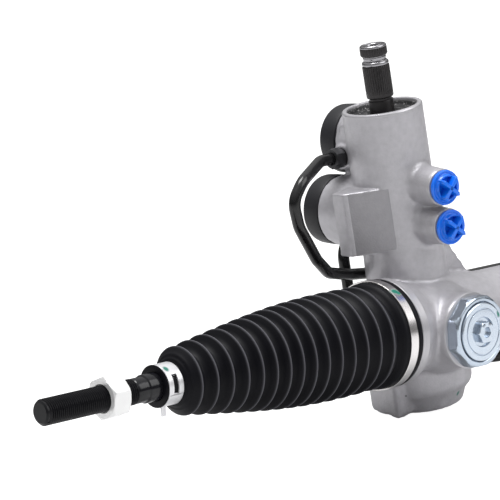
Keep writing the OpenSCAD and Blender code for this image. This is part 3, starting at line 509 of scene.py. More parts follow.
class SteeringGearLook(bpy.types.PropertyGroup):
    casting_colour: FloatVectorProperty(
        name="Casting colour", description="Colour of the cast aluminium",
        default=(0.405, 0.397, 0.421), size=3, min=0, max=1, subtype="COLOR")
    rubber_colour: FloatVectorProperty(
        name="Rubber colour", description="Colour of the boots",
        default=(0.002, 0.002, 0.0038), size=3, min=0, max=1, subtype="COLOR")
    # The crest line's colour is partly wear and partly painted highlight.
    crest_wear_and_highlight_colour: FloatVectorProperty(
        name="Crest colour", description="Colour of the worn line on each fold",
        default=(0.075, 0.075, 0.085), size=3, min=0, max=1, subtype="COLOR")
    cap_colour: FloatVectorProperty(
        name="Cap colour", description="Colour of the port caps",
        default=(0.003, 0.135, 0.7), size=3, min=0, max=1, subtype="COLOR")


class SteeringGearCasting(bpy.types.PropertyGroup):
    voxel: FloatProperty(
        name="Voxel size", description="Fineness of the cast skin",
        default=0.001, min=0.0006, max=0.003, unit="LENGTH")
    fillet_width: FloatProperty(
        name="Fillet width", description="Reach of the cast fillets from an inner corner",
        default=0.004, min=0, max=0.01, unit="LENGTH")
    corner: FloatProperty(
        name="Corner", description="Least angle between faces that is rounded",
        default=radians(16), min=radians(5), max=radians(90), subtype="ANGLE")
    fillet_rounds: IntProperty(
        name="Fillet rounds", description="Smoothing rounds of the cast fillets",
        default=18, min=0, max=200)
    triangles: IntProperty(
        name="Triangles", description="Triangles that the cast skin is thinned to",
        default=170000, min=20000, max=195000)


class SteeringGearBoot(bpy.types.PropertyGroup):
    folds: IntProperty(name="Folds", description="Number of folds", default=15, min=8, max=20)
    depth: FloatProperty(
        name="Fold depth", description="Depth of the valleys below the lower crest beside",
        default=0.0048, min=0.002, max=0.006, unit="LENGTH")
    # The lighter crest line is partly wear and partly painted highlight.
    crest: FloatProperty(
        name="Crest width", description="Width of the worn line on a fold",
        default=0.0011, min=0.0002, max=0.002, unit="LENGTH")


class SteeringGearRod(bpy.types.PropertyGroup):
    shank: FloatProperty(
        name="Shank radius", description="Radius of the tie rod between ball and thread",
        default=0.0088, min=0.006, max=0.01, unit="LENGTH")
    thread: FloatProperty(
        name="Thread radius", description="Outer radius of the thread",
        default=0.008, min=0.006, max=0.01, unit="LENGTH")
    pitch: FloatProperty(
        name="Pitch", description="Pitch of the thread",
        default=0.0015, min=0.001, max=0.003, unit="LENGTH")
    flats: FloatProperty(
        name="Nut size", description="Width across the flats of the jam nut",
        default=0.024, min=0.02, max=0.03, unit="LENGTH")


class SteeringGearShaft(bpy.types.PropertyGroup):
    teeth: IntProperty(
        name="Teeth", description="Number of spline teeth", default=36, min=20, max=48)
    knurls: IntProperty(
        name="Knurls", description="Number of grooves round the collar",
        default=32, min=16, max=60)


class SteeringGearStage(bpy.types.PropertyGroup):
    sky: FloatProperty(
        name="Sky", description="Strength of the pale surroundings overhead",
        default=1.1, min=0, max=3)
    horizon: FloatProperty(
        name="Horizon", description="Strength of the surroundings at the horizon",
        default=0.06, min=0, max=3)
    key: FloatProperty(
        name="Key light", description="Power of the light over the part",
        default=17.5, min=0, max=1000, subtype="POWER")
    fill: FloatProperty(
        name="Fill light", description="Power of the light right overhead",
        default=42, min=0, max=1000, subtype="POWER")
    floor_lift: FloatProperty(
        name="Floor lift", description="Share of plain white that the camera sees on the floor",
        default=0.6, min=0, max=1, subtype="FACTOR")
    floor_white: FloatProperty(
        name="Floor white", description="Strength of that white", default=1.65, min=0, max=3)


class SteeringGearSettings(bpy.types.PropertyGroup):
    look: PointerProperty(type=SteeringGearLook)
    casting: PointerProperty(type=SteeringGearCasting)
    boot: PointerProperty(type=SteeringGearBoot)
    rod: PointerProperty(type=SteeringGearRod)
    shaft: PointerProperty(type=SteeringGearShaft)
    stage: PointerProperty(type=SteeringGearStage)


class SteeringGearStep:
    """What the operators share."""

    bl_options = {"REGISTER", "UNDO"}

    def execute(self, context):
        self.build(context.scene.steering_gear)
        return {"FINISHED"}


# Operators


class STEERING_OT_finishes(SteeringGearStep, bpy.types.Operator):
    """Makes the materials and paints the CAD nodes that are shown as they are"""

    bl_idname = "steering_gear.finishes"
    bl_label = "Finishes"

    PAINTED = {
        "tube": ("cylinder_tube",),
        "bright": ("mount_cores", "bearing_outer_rings", "bearing_inner_rings", "bearing_balls",
                   "pinion", "valve_sleeve", "input_bearing", "torsion_bar", "torsion_pin",
                   "rack_bar", "piston", "bottom_cap"),
        "dark": ("guide_spring", "pinion_nut", "snap_ring", "lock_washers", "ball_sockets",
                 "pipe_clip"),
        "guide": ("rack_guide", "rack_bushes"),
        "ptfe": ("valve_rings", "piston_ring"),
        "seal": ("shaft_seal", "pinion_seal", "cylinder_seals"),
        "seat": ("ball_seats",),
    }

    def build(self, settings):
        make_finishes(settings.look)
        for key, nodes in self.PAINTED.items():
            for node in nodes:
                coat(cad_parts[node].data, key)


class STEERING_OT_castings(SteeringGearStep, bpy.types.Operator):
    """Gives the castings their skin, with fillets in the inner corners"""

    bl_idname = "steering_gear.castings"
    bl_label = "Castings"

    # Node, name of its skin, and its share of the triangles
    SKINS = (("gear_housing", "gear_casting", 1), ("end_housing", "end_casting", 0.3),
             ("far_mount_bracket", "far_bracket", 0.3))
    RIDGE_ROUNDS = 6
    # How much sooner the hidden bores are thinned
    HIDDEN_FACTOR = 10
    # Radius and ends of the room round each hidden bore
    VALVE_ROOM, RACK_ROOM, YOKE_ROOM = (23.4, -50, 141), (24.4, -52), (19.6, -34, -8)
    BUSH_ROOM = (20, 36)
    # The turned ends of the housing, and the turned mouth and foot of the tower
    END_FACE, TOWER_R, MOUTH, FOOT = -38.5, 24.6, 108, -44
    # The left and right edge of the block's front, in the pinion's frame
    PAD_EDGES = (-40.8, 3.2, 0), (-18.6, -18.2, 0)
    # Thickness, low edge, height and edge rounding of that plate, whose darker colour is painted
    # shade
    PAD_THICK, PAD_LOW, PAD_TALL, PAD_ROUNDING = 0.56, 55.7, 40.6, 0.12

    def smoothed(self, bm, verts, rounds):
        free = [v for v in verts if not self.kept(v.co)]
        for _ in range(rounds):
            bmesh.ops.smooth_vert(bm, verts=free, factor=0.5, use_axis_x=True,
                                  use_axis_y=True, use_axis_z=True)

    def rounded(self, bm, solid, settings):
        """Lays an even mesh on the CAD surface, then rounds its edges and inner corners."""
        for v in bm.verts:
            v.co = solid.find_nearest(v.co)[0]
        bm.normal_update()
        hollow, ridge = set(), set()
        for edge in bm.edges:
            angle = edge.calc_face_angle_signed(0)
            if abs(angle) > settings.corner and not self.kept(edge.verts[0].co):
                (hollow if angle < 0 else ridge).update(edge.verts)
        for _ in range(round(settings.fillet_width / settings.voxel)):
            hollow |= {e.other_vert(v) for v in hollow for e in v.link_edges}
        self.smoothed(bm, hollow, settings.fillet_rounds)
        ridge |= {e.other_vert(v) for v in ridge for e in v.link_edges}
        self.smoothed(bm, ridge, self.RIDGE_ROUNDS)

    def in_source(self, obj):
        """The object's mesh, in millimetres in the source's frame."""
        bm = bmesh.new()
        bm.from_mesh(obj.data)
        bm.transform(RACK.inverted())
        return bm

    def skin(self, node, name, settings, triangles):
        """A CAD node's surface as an even mesh, rounded, and thinned most where it is hidden."""
        obj = copied(node)
        obj.name = name
        bm = self.in_source(obj)
        solid = BVHTree.FromBMesh(bm)
        bm.free()
        remesh = obj.modifiers.new("skin", "REMESH")
        remesh.mode = "VOXEL"
        remesh.voxel_size = settings.voxel
        remesh.adaptivity = 0.0
        apply_modifiers(obj)
        bm = self.in_source(obj)
        self.rounded(bm, solid, settings)
        hidden = [v.index for v in bm.verts if self.inside(v.co)]
        bm.transform(RACK)
        bm.to_mesh(obj.data)
        bm.free()
        obj.vertex_groups.new(name="inside").add(hidden, 1, "REPLACE")
        thin = obj.modifiers.new("thin", "DECIMATE")
        thin.ratio = min(1, triangles / (2 * len(obj.data.polygons)))
        thin.vertex_group = "inside"
        thin.vertex_group_factor = self.HIDDEN_FACTOR
        apply_modifiers(obj)
        obj.vertex_groups.clear()
        obj.data.shade_smooth()
        return obj

    def across_pinion(self, co):
        """A point's distance from the pinion axis, and its height along it."""
        off = PINION.inverted() @ (RACK @ co)
        return hypot(off.x, off.y), off.z

    def inside(self, co):
        """True on the bores, which other pieces hide."""
        x, y, z = co
        across, height = self.across_pinion(co)
        r, low, high = self.VALVE_ROOM
        valve = across < r and low < height < high
        r, low = self.RACK_ROOM
        rack = hypot(y, z) < r and low < x < 2 * MID_X - low
        r, low = self.BUSH_ROOM
        bushes = any(hypot(x - mx, z - mz) < r and y > low for mx, mz in MOUNTS.values())
        r, low, high = self.YOKE_ROOM
        yoke = hypot(x + 2, z + 2) < r and low < y < high
        return valve or rack or bushes or yoke

    def kept(self, co):
        """True where a machined edge stays as sharp as it is."""
        if not self.END_FACE <= co[0] <= 2 * MID_X - self.END_FACE:
            return True
        across, height = self.across_pinion(co)
        ends = height > self.MOUTH or height < self.FOOT
        return self.inside(co) or (across < self.TOWER_R and ends)

    def machined(self):
        """The turned faces of the housing, as thin rings just proud of the casting."""
        bm = bmesh.new()
        to_rack = RACK.inverted()
        self.end_ring(bm)
        lathe_into(bm, [(23.06, 143), (23.06, 144.9), (23.3, 145.4), (23.8, 145.64),
                        (25, 145.64), (25.7, 145.5), (26.2, 145), (26.44, 144.2),
                        (26.42, 143.4), (26, 143.2), (24, 143)],
                   128, True, to_rack @ PINION)
        lathe_into(bm, [(19.2, 35.5), (19.2, 36.04), (24, 36.04), (24.8, 35.7), (25.04, 35),
                        (24.6, 34.7)], 96, True, to_rack @ YOKE)
        for name in PORTS:
            lathe_into(bm, [(7.1, 44.6), (7.1, 45.4), (7.4, 45.63), (10.8, 45.63), (11.6, 45.4),
                            (11.95, 44.8), (11.95, 44.4), (11.4, 44.2)],
                       96, True, to_rack @ port_frame(name))
        faces = finish(bm, "machined_faces", RACK, 30)
        put(faces, "housing", "cast_aluminium", "machined", "gear_housing")
        bm = bmesh.new()
        self.end_ring(bm)
        ring = finish(bm, "end_machined_ring", side_frame("right"), 30)
        put(ring, "housing", "cast_aluminium", "machined", "end_housing")

    def end_ring(self, bm):
        """The turned face and rim at an end of the housing, in the source's frame."""
        lathe_into(bm, [(33.8, -45.52), (34.5, -45.52), (35.04, -45), (35.04, -43.3),
                        (34.7, -43.1), (34.7, -42.8), (35.04, -42.6), (35.04, -39.6),
                        (34.6, -39), (33.8, -38.95)], 128, True, turned("Y", 90))

    def pad(self):
        """A darker plate over the flat front of the block beside the tower, with its own cast
        grain: painted shade on that face.
        """
        left, right = (Vector(edge) for edge in self.PAD_EDGES)
        along = (right - left).normalized()
        out = Vector((along.y, -along.x, 0))
        corner = left + along * 0.9 - out * 0.5 + Vector((0, 0, self.PAD_LOW))
        axes = Matrix((along, out, Vector((0, 0, 1)))).transposed().to_4x4()
        size = ((right - left).length - 1.6, self.PAD_THICK, self.PAD_TALL)
        bm = bmesh.new()
        box_into(bm, size, shifted(*corner) @ axes, self.PAD_ROUNDING)
        plate = finish(bm, "block_pad", PINION, 40)
        put(plate, "housing", "cast_aluminium", "pad", "gear_housing")

    def build(self, settings):
        s = settings.casting
        for node, name, share in self.SKINS:
            obj = self.skin(node, name, s, s.triangles * share)
            put(obj, "housing", "cast_aluminium", "cast", node)
        self.machined()
        self.pad()


class STEERING_OT_boots(SteeringGearStep, bpy.types.Operator):
    """Builds the bellows boots with their folds, and a lighter line on each crest that is partly
    wear and partly painted highlight
    """

    bl_idname = "steering_gear.boots"
    bl_label = "Boots"

    # The outermost and the innermost fold, and the ends of what bends with the rack, which is
    # built here unbent
    FIRST, LAST = -222.9, -70.6
    HELD, MOVED = -58, -236
    # The fold after which the outer piece ends
    SPLIT = 6
    WALL = 1.8

    def fold_x(self, k, n):
        """Place of a fold's crest along the rack; the spacing varies a little."""
        t = (k - 1) / (n - 1)
        return (self.FIRST + (self.LAST - self.FIRST) * t
                + 1.9 * sin(2 * pi * t) - 1.1 * sin(pi * t))

    def fold_r(self, k, n):
        """Radius of a fold's crest; the folds grow toward the housing."""
        return 21.4 + 12.8 * sin(radians(90 * (k - 1) / (n * 0.8)))

    def valley(self, k, s):
        """Radius of the valley between a fold and the next one."""
        return min(self.fold_r(k, s.folds), self.fold_r(k + 1, s.folds)) - s.depth / MM

    def fold(self, k, s, inset):
        """Points of a fold, from its crest to the bottom of the valley after it."""
        x, r, w = self.fold_x(k, s.folds), self.fold_r(k, s.folds) - inset, s.crest / MM / 2
        low = self.valley(k - 1, s) - inset if k > 1 else r - 4.2
        # The third value of a point marks the lighter crest line, partly wear and partly painted
        # highlight.
        out = [(low + 0.45 * (r - low), x - 2.6), (r - 1, x - 1.15),
               (r - 0.28, x - w - 0.14, 0.3), (r - 0.05, x - w * 0.7, 0.8), (r, x, 1),
               (r - 0.05, x + w * 0.7, 0.8), (r - 0.28, x + w + 0.14, 0.3)]
        if k < s.folds:
            v = self.valley(k, s) - inset
            mid = (x + self.fold_x(k + 1, s.folds)) / 2
            out += [(r - 1, x + 1.15), (v + 0.45 * (r - v), x + 2.6),
                    (v + 0.3, mid - 1.3), (v, mid), (v + 0.3, mid + 1.3)]
        return out

    def section(self, s, first, last, inset):
        return [p for k in range(first, last + 1) for p in self.fold(k, s, inset)]

    def tail(self, inset):
        """The plain collar under the large clamp, and its thin lip at the housing."""
        r = 34.6 - inset
        out = [(31.4 - inset, -65.5), (28.9 - inset, -64.9), (29.0 - inset, -64.2),
               (r - 2.2, -62), (r - 0.3, -60.4), (r, -59.6)]
        if not inset:
            out += [(r, -50.5), (35.4, -50.1), (35.55, -48.5), (35.4, -46.4),
                    (34.8, -45.65), (31.6, -45.65), (31.6, -59)]
        return out

    def neck(self, inset):
        """The collar on the rod, under the small clamp."""
        if inset:
            return [(9.15, -231), (9.8, -229.6), (16.6, -226.2)]
        return [(9.1, -243.2), (12.6, -243.2), (13.1, -242.95), (13.15, -242.6),
                (12.8, -242.35), (12, -242.3), (12, -230.4), (12.8, -229.6),
                (14.2, -228.8), (14.6, -228.75), (15, -228.1), (16.4, -227.3),
                (17.2, -227.2), (17.6, -226.4)]

    def piece(self, name, side, outside, inside):
        bm = bmesh.new()
        layer = bm.verts.layers.float.new("crest")
        lathe_into(bm, outside + inside[::-1], 120, True, layer=layer)
        obj = finish(bm, name, along_x(side), 70)
        coat(obj.data, "rubber")
        return obj

    def build(self, settings):
        s = settings.boot
        for side in SIDES:
            outer = self.piece(side + "_boot_outer", side, *(
                self.neck(inset) + self.section(s, 1, self.SPLIT, inset)[:-1]
                for inset in (0, self.WALL)))
            inner = self.piece(side + "_boot_inner", side, *(
                self.section(s, self.SPLIT, self.SPLIT, inset)[-2:]
                + self.section(s, self.SPLIT + 1, s.folds, inset) + self.tail(inset)
                for inset in (0, self.WALL)))
            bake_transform(inner)
            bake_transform(outer)
            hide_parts(side + "_boot")
            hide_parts(side + "_boot")


class STEERING_OT_boot_clamps(SteeringGearStep, bpy.types.Operator):
    """Builds the large band clamps and the slotted spring clamps of the boots"""

    bl_idname = "steering_gear.boot_clamps"
    bl_label = "Boot clamps"

    def large(self, bm, place):
        """A flat band round the collar of a boot, with its raised ear."""
        r0, r1, x0, x1 = 34.66, 35.9, -57.3, -50.7
        profile = [(r0, x0 + 0.1), (r1 - 0.3, x0), (r1, x0 + 0.3), (r1, x1 - 0.3),
                   (r1 - 0.3, x1), (r0, x1 - 0.1)]
        lathe_into(bm, profile, 128, True, place @ turned("Y", 90))
        ear = place @ turned("X", -95) @ shifted(x0 + 0.6, -4, 35.2)
        for size, y, z in (((5.4, 1.3, 4.6), 0, 0), ((5.4, 1.3, 4.6), 6.7, 0),
                           ((5.4, 8, 1.2), 0, 3.4)):
            box_into(bm, size, ear @ shifted(0, y, z), 0.4)

    def small(self, name, side):
        """A spring band with a slot and a hanging tang."""
        x0, radii = -242, (12.05, 13.05)
        # The slot reaches from station 2 to station 3, between these angles
        stations, slot = (0, 0.15, 3.6, 7.6, 11.25, 11.4), (-20, 34)
        steps, last = 120, len(stations) - 1
        bm = bmesh.new()
        grid = {}
        for k in range(steps):
            a = radians(360 * k / steps)
            for i, h in enumerate(stations):
                for j, r in enumerate(radii):
                    rr = r - 0.12 if j and i in (0, last) else r
                    grid[k, i, j] = bm.verts.new((x0 + h, -rr * cos(a), rr * sin(a)))

        def quad(*corners):
            bm.faces.new([grid[corner] for corner in corners])

        for k in range(steps):
            n = (k + 1) % steps
            slotted = slot[0] <= (360 * k / steps + 180) % 360 - 180 < slot[1]
            for i in range(last):
                if not (slotted and i == 2):
                    for j in (0, 1):
                        quad((k, i, j), (n, i, j), (n, i + 1, j), (k, i + 1, j))
            for i in (0, last, 2, 3) if slotted else (0, last):
                quad((k, i, 0), (n, i, 0), (n, i, 1), (k, i, 1))
        for a in slot:
            k = round(a % 360 / 360 * steps)
            quad((k, 2, 0), (k, 3, 0), (k, 3, 1), (k, 2, 1))
        box_into(bm, (3.8, 1, 6.2), shifted(x0 + 0.4, -3.6, -18.4), 0.3)
        return finish(bm, name, side_frame(side), 20)

    def build(self, settings):
        bm = bmesh.new()
        for side in SIDES:
            self.large(bm, mirrored(side))
        bands = finish(bm, "large_band_clamps", RACK, 40)
        put(bands, "housing", "clamp_steel", "band", "large_boot_clamps")
        for side in SIDES:
            band = self.small(side + "_spring_clamp", side)
            put(band, side + "_rod", "clamp_steel", "small_band", side + "_small_clamp")


class STEERING_OT_tie_rods(SteeringGearStep, bpy.types.Operator):
    """Builds the inner tie rods with their balls and rolled threads"""

    bl_idname = "steering_gear.tie_rods"
    bl_label = "Tie rods"

    BALL_X, BALL_R, LENGTH, THREAD_LENGTH = -140, 13, 190.7, 70

    def thread_into(self, bm, section, start, pitch, turns, steps=48):
        """Winds a closed section of (radius, height) round the local Z axis as a thread."""
        verts = [bm.verts.new((r, 0, start + h)) for r, h in section]
        edges = [bm.edges.new(pair) for pair in pairs(verts, True)]
        bm.faces.new(verts)
        count = round(turns * steps)
        done = bmesh.ops.spin(
            bm, geom=verts + edges, cent=(0, 0, 0), axis=(0, 0, 1),
            dvec=(0, 0, pitch / steps), angle=2 * pi * count / steps, steps=count)
        bm.faces.new([v for v in done["geom_last"] if isinstance(v, bmesh.types.BMVert)])

    def build(self, settings):
        s = settings.rod
        shank, thread, pitch = s.shank / MM, s.thread / MM, s.pitch / MM
        end = self.LENGTH
        root = end - self.THREAD_LENGTH
        angles = [radians(a) for a in range(0, 151, 6)]
        ball = [(self.BALL_R * sin(a), self.BALL_R * -cos(a)) for a in angles]
        for side in SIDES:
            place = along_x(side) @ shifted(0, 0, self.BALL_X) @ turned("X", 180)
            rod = lathe(side + "_rod_shank", ball + [
                (6.5, 12.5), (6.5, 20), (shank - 0.4, 27.4), (shank, 28.4), (shank, root - 9),
                (shank - 0.05, root - 8.6), (shank - 0.9, root - 7.8), (shank - 0.95, root - 6),
                (thread - 0.2, root - 1), (thread - 0.7, root), (0, root)], place)
            put(rod, side + "_rod", "black_rod", "black_rod", side + "_tie_rod")
            bm = bmesh.new()
            core = thread - 0.85
            lathe_into(bm, [(0, root - 1), (core, root - 1), (core, end - 0.9),
                            (core - 1, end), (0, end)], 64)
            start, stop = root + 0.6, end - 1.7
            section = [(core - 0.15, -0.48 * pitch), (thread, -0.07 * pitch),
                       (thread, 0.07 * pitch), (core - 0.15, 0.48 * pitch)]
            self.thread_into(bm, section, start, pitch, (stop - start) / pitch)
            ridge = finish(bm, side + "_rod_thread", place, 25)
            put(ridge, side + "_rod", "black_rod", "black_thread", side + "_tie_rod")


class STEERING_OT_jam_nuts(SteeringGearStep, bpy.types.Operator):
    """Builds the chamfered jam nuts of the tie rods"""

    bl_idname = "steering_gear.jam_nuts"
    bl_label = "Jam nuts"

    def build(self, settings):
        flats, half, bore, place_x = settings.rod.flats / MM, 6.5, 7.86, -277.7
        hexagon = polygon(6, flats, turn=10)
        corner = flats / 2 / cos(pi / 6)
        chamfer = [(corner - 1.9, 0), (corner - 1.2, 0.35), (corner - 0.7, 0.65),
                   (corner - 0.35, 0.95), (corner - 0.12, 1.25), (corner - 0.1, 1.5)]
        outer = [(hexagon(r), -half + h) for r, h in chamfer]
        outer += [(hexagon(r), half - h) for r, h in chamfer[::-1]]
        inner = [(bore + 1, half), (bore, half - 1), (bore, -half + 1),
                 (bore + 1, -half)]
        for side in SIDES:
            place = along_x(side) @ shifted(0, 0, place_x)
            nut = rings(side + "_hex_nut", outer + inner, place, 216, True, 24)
            put(nut, side + "_nut", "zinc_steel", "nut", side + "_jam_nut")


class STEERING_OT_input_shaft(SteeringGearStep, bpy.types.Operator):
    """Builds the input shaft with its spline, bright neck and knurled collar"""

    bl_idname = "steering_gear.input_shaft"
    bl_label = "Input shaft"

    def build(self, settings):
        s = settings.shaft
        spline = ribbed(root=8.36, height=0.55, count=s.teeth, slope=2.2, gap=0.6)
        knurl = ribbed(root=8.35, height=0.5, count=s.knurls, slope=3, gap=0.8)
        plain = lathe("input_shaft_body", [
            (0, 41), (6.9, 41), (6.9, 50.4), (11.9, 51), (11.9, 112), (9.95, 113),
            (9.95, 126.4), (8.1, 127), (8.1, 149.6), (7.95, 150), (7.3, 150.3), (7.3, 151.5),
            (7.9, 151.7), (7.9, 153.4), (0, 153.4)], PINION)
        body = rings("input_spline", [
            (0.01, 151.6), (7.9, 151.6), (8.5, 151.9), (8.8, 152.4), (8.86, 153.2),
            (8.86, 154.6), (spline, 157.2), (spline, 172.4),
            (lambda a: min(spline(a), 8.5), 173), (7.4, 173.4), (0.01, 173.4)],
            PINION, s.teeth * 8, False, 25)
        neck = lathe("input_neck", [
            (0, 173), (7.5, 173.2), (8.5, 173.35), (8.75, 173.7), (8.75, 174.9), (8.3, 175.6),
            (7.5, 176.1), (7.35, 176.6), (7.35, 177.4), (7.6, 177.7), (7.6, 178.4),
            (7.2, 178.7), (7.2, 179.2), (0, 179.6)], PINION, sharp=40)
        collar = rings("input_collar", [
            (0.01, 179.1), (7.3, 179.1), (8.2, 179.4), (knurl, 180.2), (knurl, 184.4),
            (8.6, 184.8), (8.2, 185), (0.01, 185)], PINION, s.knurls * 8, False, 30)
        crown = lathe("input_crown", [
            (3.95, 182.7), (8.2, 184.9), (8.72, 184.95), (8.8, 185.3), (8.55, 186.05),
            (7.95, 186.5), (7.3, 186.45), (6.9, 185.9), (6.2, 185.85), (5.9, 186.4),
            (5.3, 186.6), (4.5, 186.3), (4.1, 185.6)], PINION, 96, True, 40)
        for piece in (plain, body, collar):
            put(piece, "input", "dark_steel", "shaft", "input_shaft")
        for piece in (neck, crown):
            put(piece, "input", "bright_steel", "bright", "input_shaft")


class STEERING_OT_tower_seal(SteeringGearStep, bpy.types.Operator):
    """Builds the dust cover in the mouth of the tower"""

    bl_idname = "steering_gear.tower_seal"
    bl_label = "Tower seal"

    def build(self, settings):
        cover = lathe("dust_cover_lip", raised(138.5, [
            (8.4, 0), (22.5, 0), (22.9, 0.4), (22.95, 4.6), (22.6, 5.3), (21.9, 5.4),
            (21.2, 5), (20.9, 3.6), (20.2, 3.1), (17.2, 3), (16.6, 2.5), (13.6, 2.4),
            (12.2, 3), (11, 3.4), (10, 3.6), (9.4, 3.1), (8.4, 2.9)]),
            PINION, 96, True, 50)
        put(cover, "housing", "seal_rubber", "seal", "dust_cover")


class STEERING_OT_adjuster(SteeringGearStep, bpy.types.Operator):
    """Builds the rack guide's adjusting plug and its eight-sided lock nut"""

    bl_idname = "steering_gear.adjuster"
    bl_label = "Adjuster"

    def build(self, settings):
        face, flats, thick, plug_top = 36.1, 45, 9, 46.5
        octagon = polygon(8, flats, turn=22.5)
        corner = flats / 2 / cos(pi / 8)
        outer = [(octagon(corner - cut), face + h) for cut, h in (
            (1.1, 0), (0.5, 0.5), (0.3, 1.2), (0.3, thick - 2.6), (0.7, thick - 1.6),
            (1.4, thick - 0.7), (2.2, thick - 0.15), (3, thick))]
        inner = raised(face + thick, [(20.1, 0), (19.75, -0.2), (19.65, -0.8), (19.65, -3),
                                      (19.06, -3.2), (19.06, -thick)])
        nut = rings("octagon_nut", outer + inner, YOKE, 192, True, 24)
        # Its darker zinc finish is painted shade on the flats.
        put(nut, "lock_nut", "zinc_steel", "octagon", "adjusting_lock_nut")
        bm = bmesh.new()
        lathe_into(bm, [(0, 34), (9, 34), (9, 27), (19, 27)] + raised(plug_top, [
            (19, -1), (18.8, -0.4), (18.3, -0.05), (17.6, 0), (15.6, 0), (15.2, -0.6),
            (14.8, -0.6), (14.5, -0.05), (14.1, 0), (9.9, 0), (9.5, -0.5), (9.3, -1.6),
            (0, -1.6)]), 128)
        hexagon = polygon(6, 13)
        rings_into(bm, raised(plug_top, [
            (0.01, -2), (hexagon(7.3), -2), (hexagon(7.3), 2.6), (hexagon(7), 3.2),
            (hexagon(6.4), 3.5), (3.6, 3.5), (3.4, 3.2), (3.3, 1), (0.01, 1)]), 96)
        plug = finish(bm, "round_plug", YOKE, 30)
        put(plug, "plug", "zinc_steel", "zinc", "adjusting_plug")


class STEERING_OT_port_caps(SteeringGearStep, bpy.types.Operator):
    """Builds the ribbed shipping caps of the two fluid ports"""

    bl_idname = "steering_gear.port_caps"
    bl_label = "Port caps"

    # Height of the port's face along its axis
    BASE = 45.65

    def rib(self, bm, place):
        """A thick rib across the cap with pointed ends."""
        plan = [(-9, 0), (-7.6, -1.35), (7.6, -1.35), (9, 0), (7.6, 1.35), (-7.6, 1.35)]
        levels = raised(self.BASE, ((1, 1.9), (1, 8), (0.93, 8.6), (0.8, 8.9)))
        join_rows(bm, [[bm.verts.new(place @ Vector((x * k, y * k, h))) for x, y in plan]
                       for k, h in levels])

    def build(self, settings):
        for name in PORTS:
            bm = bmesh.new()
            lathe_into(bm, raised(self.BASE, [
                (0, -9), (6.7, -9), (6.7, -0.2), (9.7, 0), (9.9, 0.85), (10.9, 0.9),
                (11.35, 1.2), (11.4, 1.6), (11.3, 2.5), (10.8, 2.95), (10.2, 3), (9.3, 2.7),
                (8.9, 2.9), (8.6, 3.3), (8.5, 4.4), (8.1, 4.9), (7.4, 4.9), (7.1, 4.6),
                (6.9, 2.2), (0, 2)]))
            for a in (45, 135):
                self.rib(bm, turned("Z", a))
            cap = finish(bm, name + "_port_cap", port_frame(name), 35)
            put(cap, name + "_cap", "cap_plastic", "cap", name + "_port_plug")


class STEERING_OT_pipes(SteeringGearStep, bpy.types.Operator):
    """Builds the two bent fluid pipes and their nuts"""

    bl_idname = "steering_gear.pipes"
    bl_label = "Pipes"

    RADIUS, BEND = 3.9, 14
    # The nuts at the tower, and the places and tilt of the nuts on the tube
    NEAR_NUT, FAR_NUT = (-33, 45.2, 110.5), (4, 50, 56)
    NEAR_PORT, FAR_PORT, UP = 196, 528, 28

    def from_tube(self, x, up):
        """The last two points of a pipe, above its port in the tube."""
        a = radians(up)
        return [(x, d * cos(a), d * sin(a)) for d in (60, 36)]

    def build(self, settings):
        near = [(-35, 45.2, 110.5), (-51, 45.2, 110.5), (-79, 34, 101), (-88, 34, 89),
                (-84, 34, 72), (-66, 38, 48), (-52, 42, 37), (-28, 47, 32), (0, 50, 29),
                (40, 40, 22), (60, 33, 17.7), (172, 33, 17.7)]
        far = [(4, 52, 56), (4, 67, 56), (-20, 61, 48.5), (-19.7, 57, 20), (-14, 56, -16),
               (24, 55, -34), (66, 26, -39), (104, 12, -39), (150, 12, -39), (190, 33, -17.7),
               (504, 33, -17.7)]
        for name, route in (("near", near + self.from_tube(self.NEAR_PORT, self.UP)),
                            ("far", far + self.from_tube(self.FAR_PORT, -self.UP))):
            bm = bmesh.new()
            tube_into(bm, rounded_route(route, self.BEND), self.RADIUS)
            pipe = finish(bm, name + "_fluid_pipe", RACK, 60)
            put(pipe, "housing", "pipe_paint", "pipe", name + "_pipe")
        bm = bmesh.new()
        hexagon = polygon(6, 12.1)
        for nut_frame in (
            shifted(*self.NEAR_NUT) @ turned("Y", -90) @ shifted(0, 0, 0.1),
            shifted(*self.FAR_NUT) @ turned("X", -90) @ shifted(0, 0, 0.1),
            shifted(self.NEAR_PORT, 0, 0) @ turned("X", self.UP - 90) @ shifted(0, 0, 34.1),
            shifted(self.FAR_PORT, 0, 0) @ turned("X", -self.UP - 90) @ shifted(0, 0, 34.1),
        ):
            rings_into(bm, [
                (3.96, -6), (5.4, -6), (5.4, 0), (hexagon(6.3), 0), (hexagon(6.95), 0.6),
                (hexagon(6.95), 7.4), (hexagon(6.3), 8), (4.4, 8), (3.96, 7.6)],
                72, True, nut_frame)
        nuts = finish(bm, "pipe_unions", RACK, 30)
        put(nuts, "housing", "dark_steel", "dark", "pipe_nuts")


class STEERING_OT_mount_bushes(SteeringGearStep, bpy.types.Operator):
    """Builds the rubber mounting bushes with their rounded rims"""

    bl_idname = "steering_gear.mount_bushes"
    bl_label = "Mount bushes"

    def build(self, settings):
        back, proud = 54, 69.0
        profile = [(9.05, 40.5), (17.5, 40.5), (18.5, 41.5)] + raised(back, [
            (18.5, 0.05), (22.6, 0.05), (23.1, 0.3), (23.3, 0.9), (23.25, 6)]) + raised(proud, [
                (22.9, -2.6), (22.5, -1.2), (21.6, -0.3), (20.6, 0), (16.5, 0), (15.4, -0.6),
                (14.6, -1.8), (12.4, -2), (10.6, -0.4), (9.05, -0.3)])
        bm = bmesh.new()
        for name in MOUNTS:
            lathe_into(bm, profile, 96, True, RACK.inverted() @ mount_frame(name))
        bushes = finish(bm, "rubber_bushes", RACK, 50)
        put(bushes, "housing", "bush_rubber", "bushes", "mount_bushes")


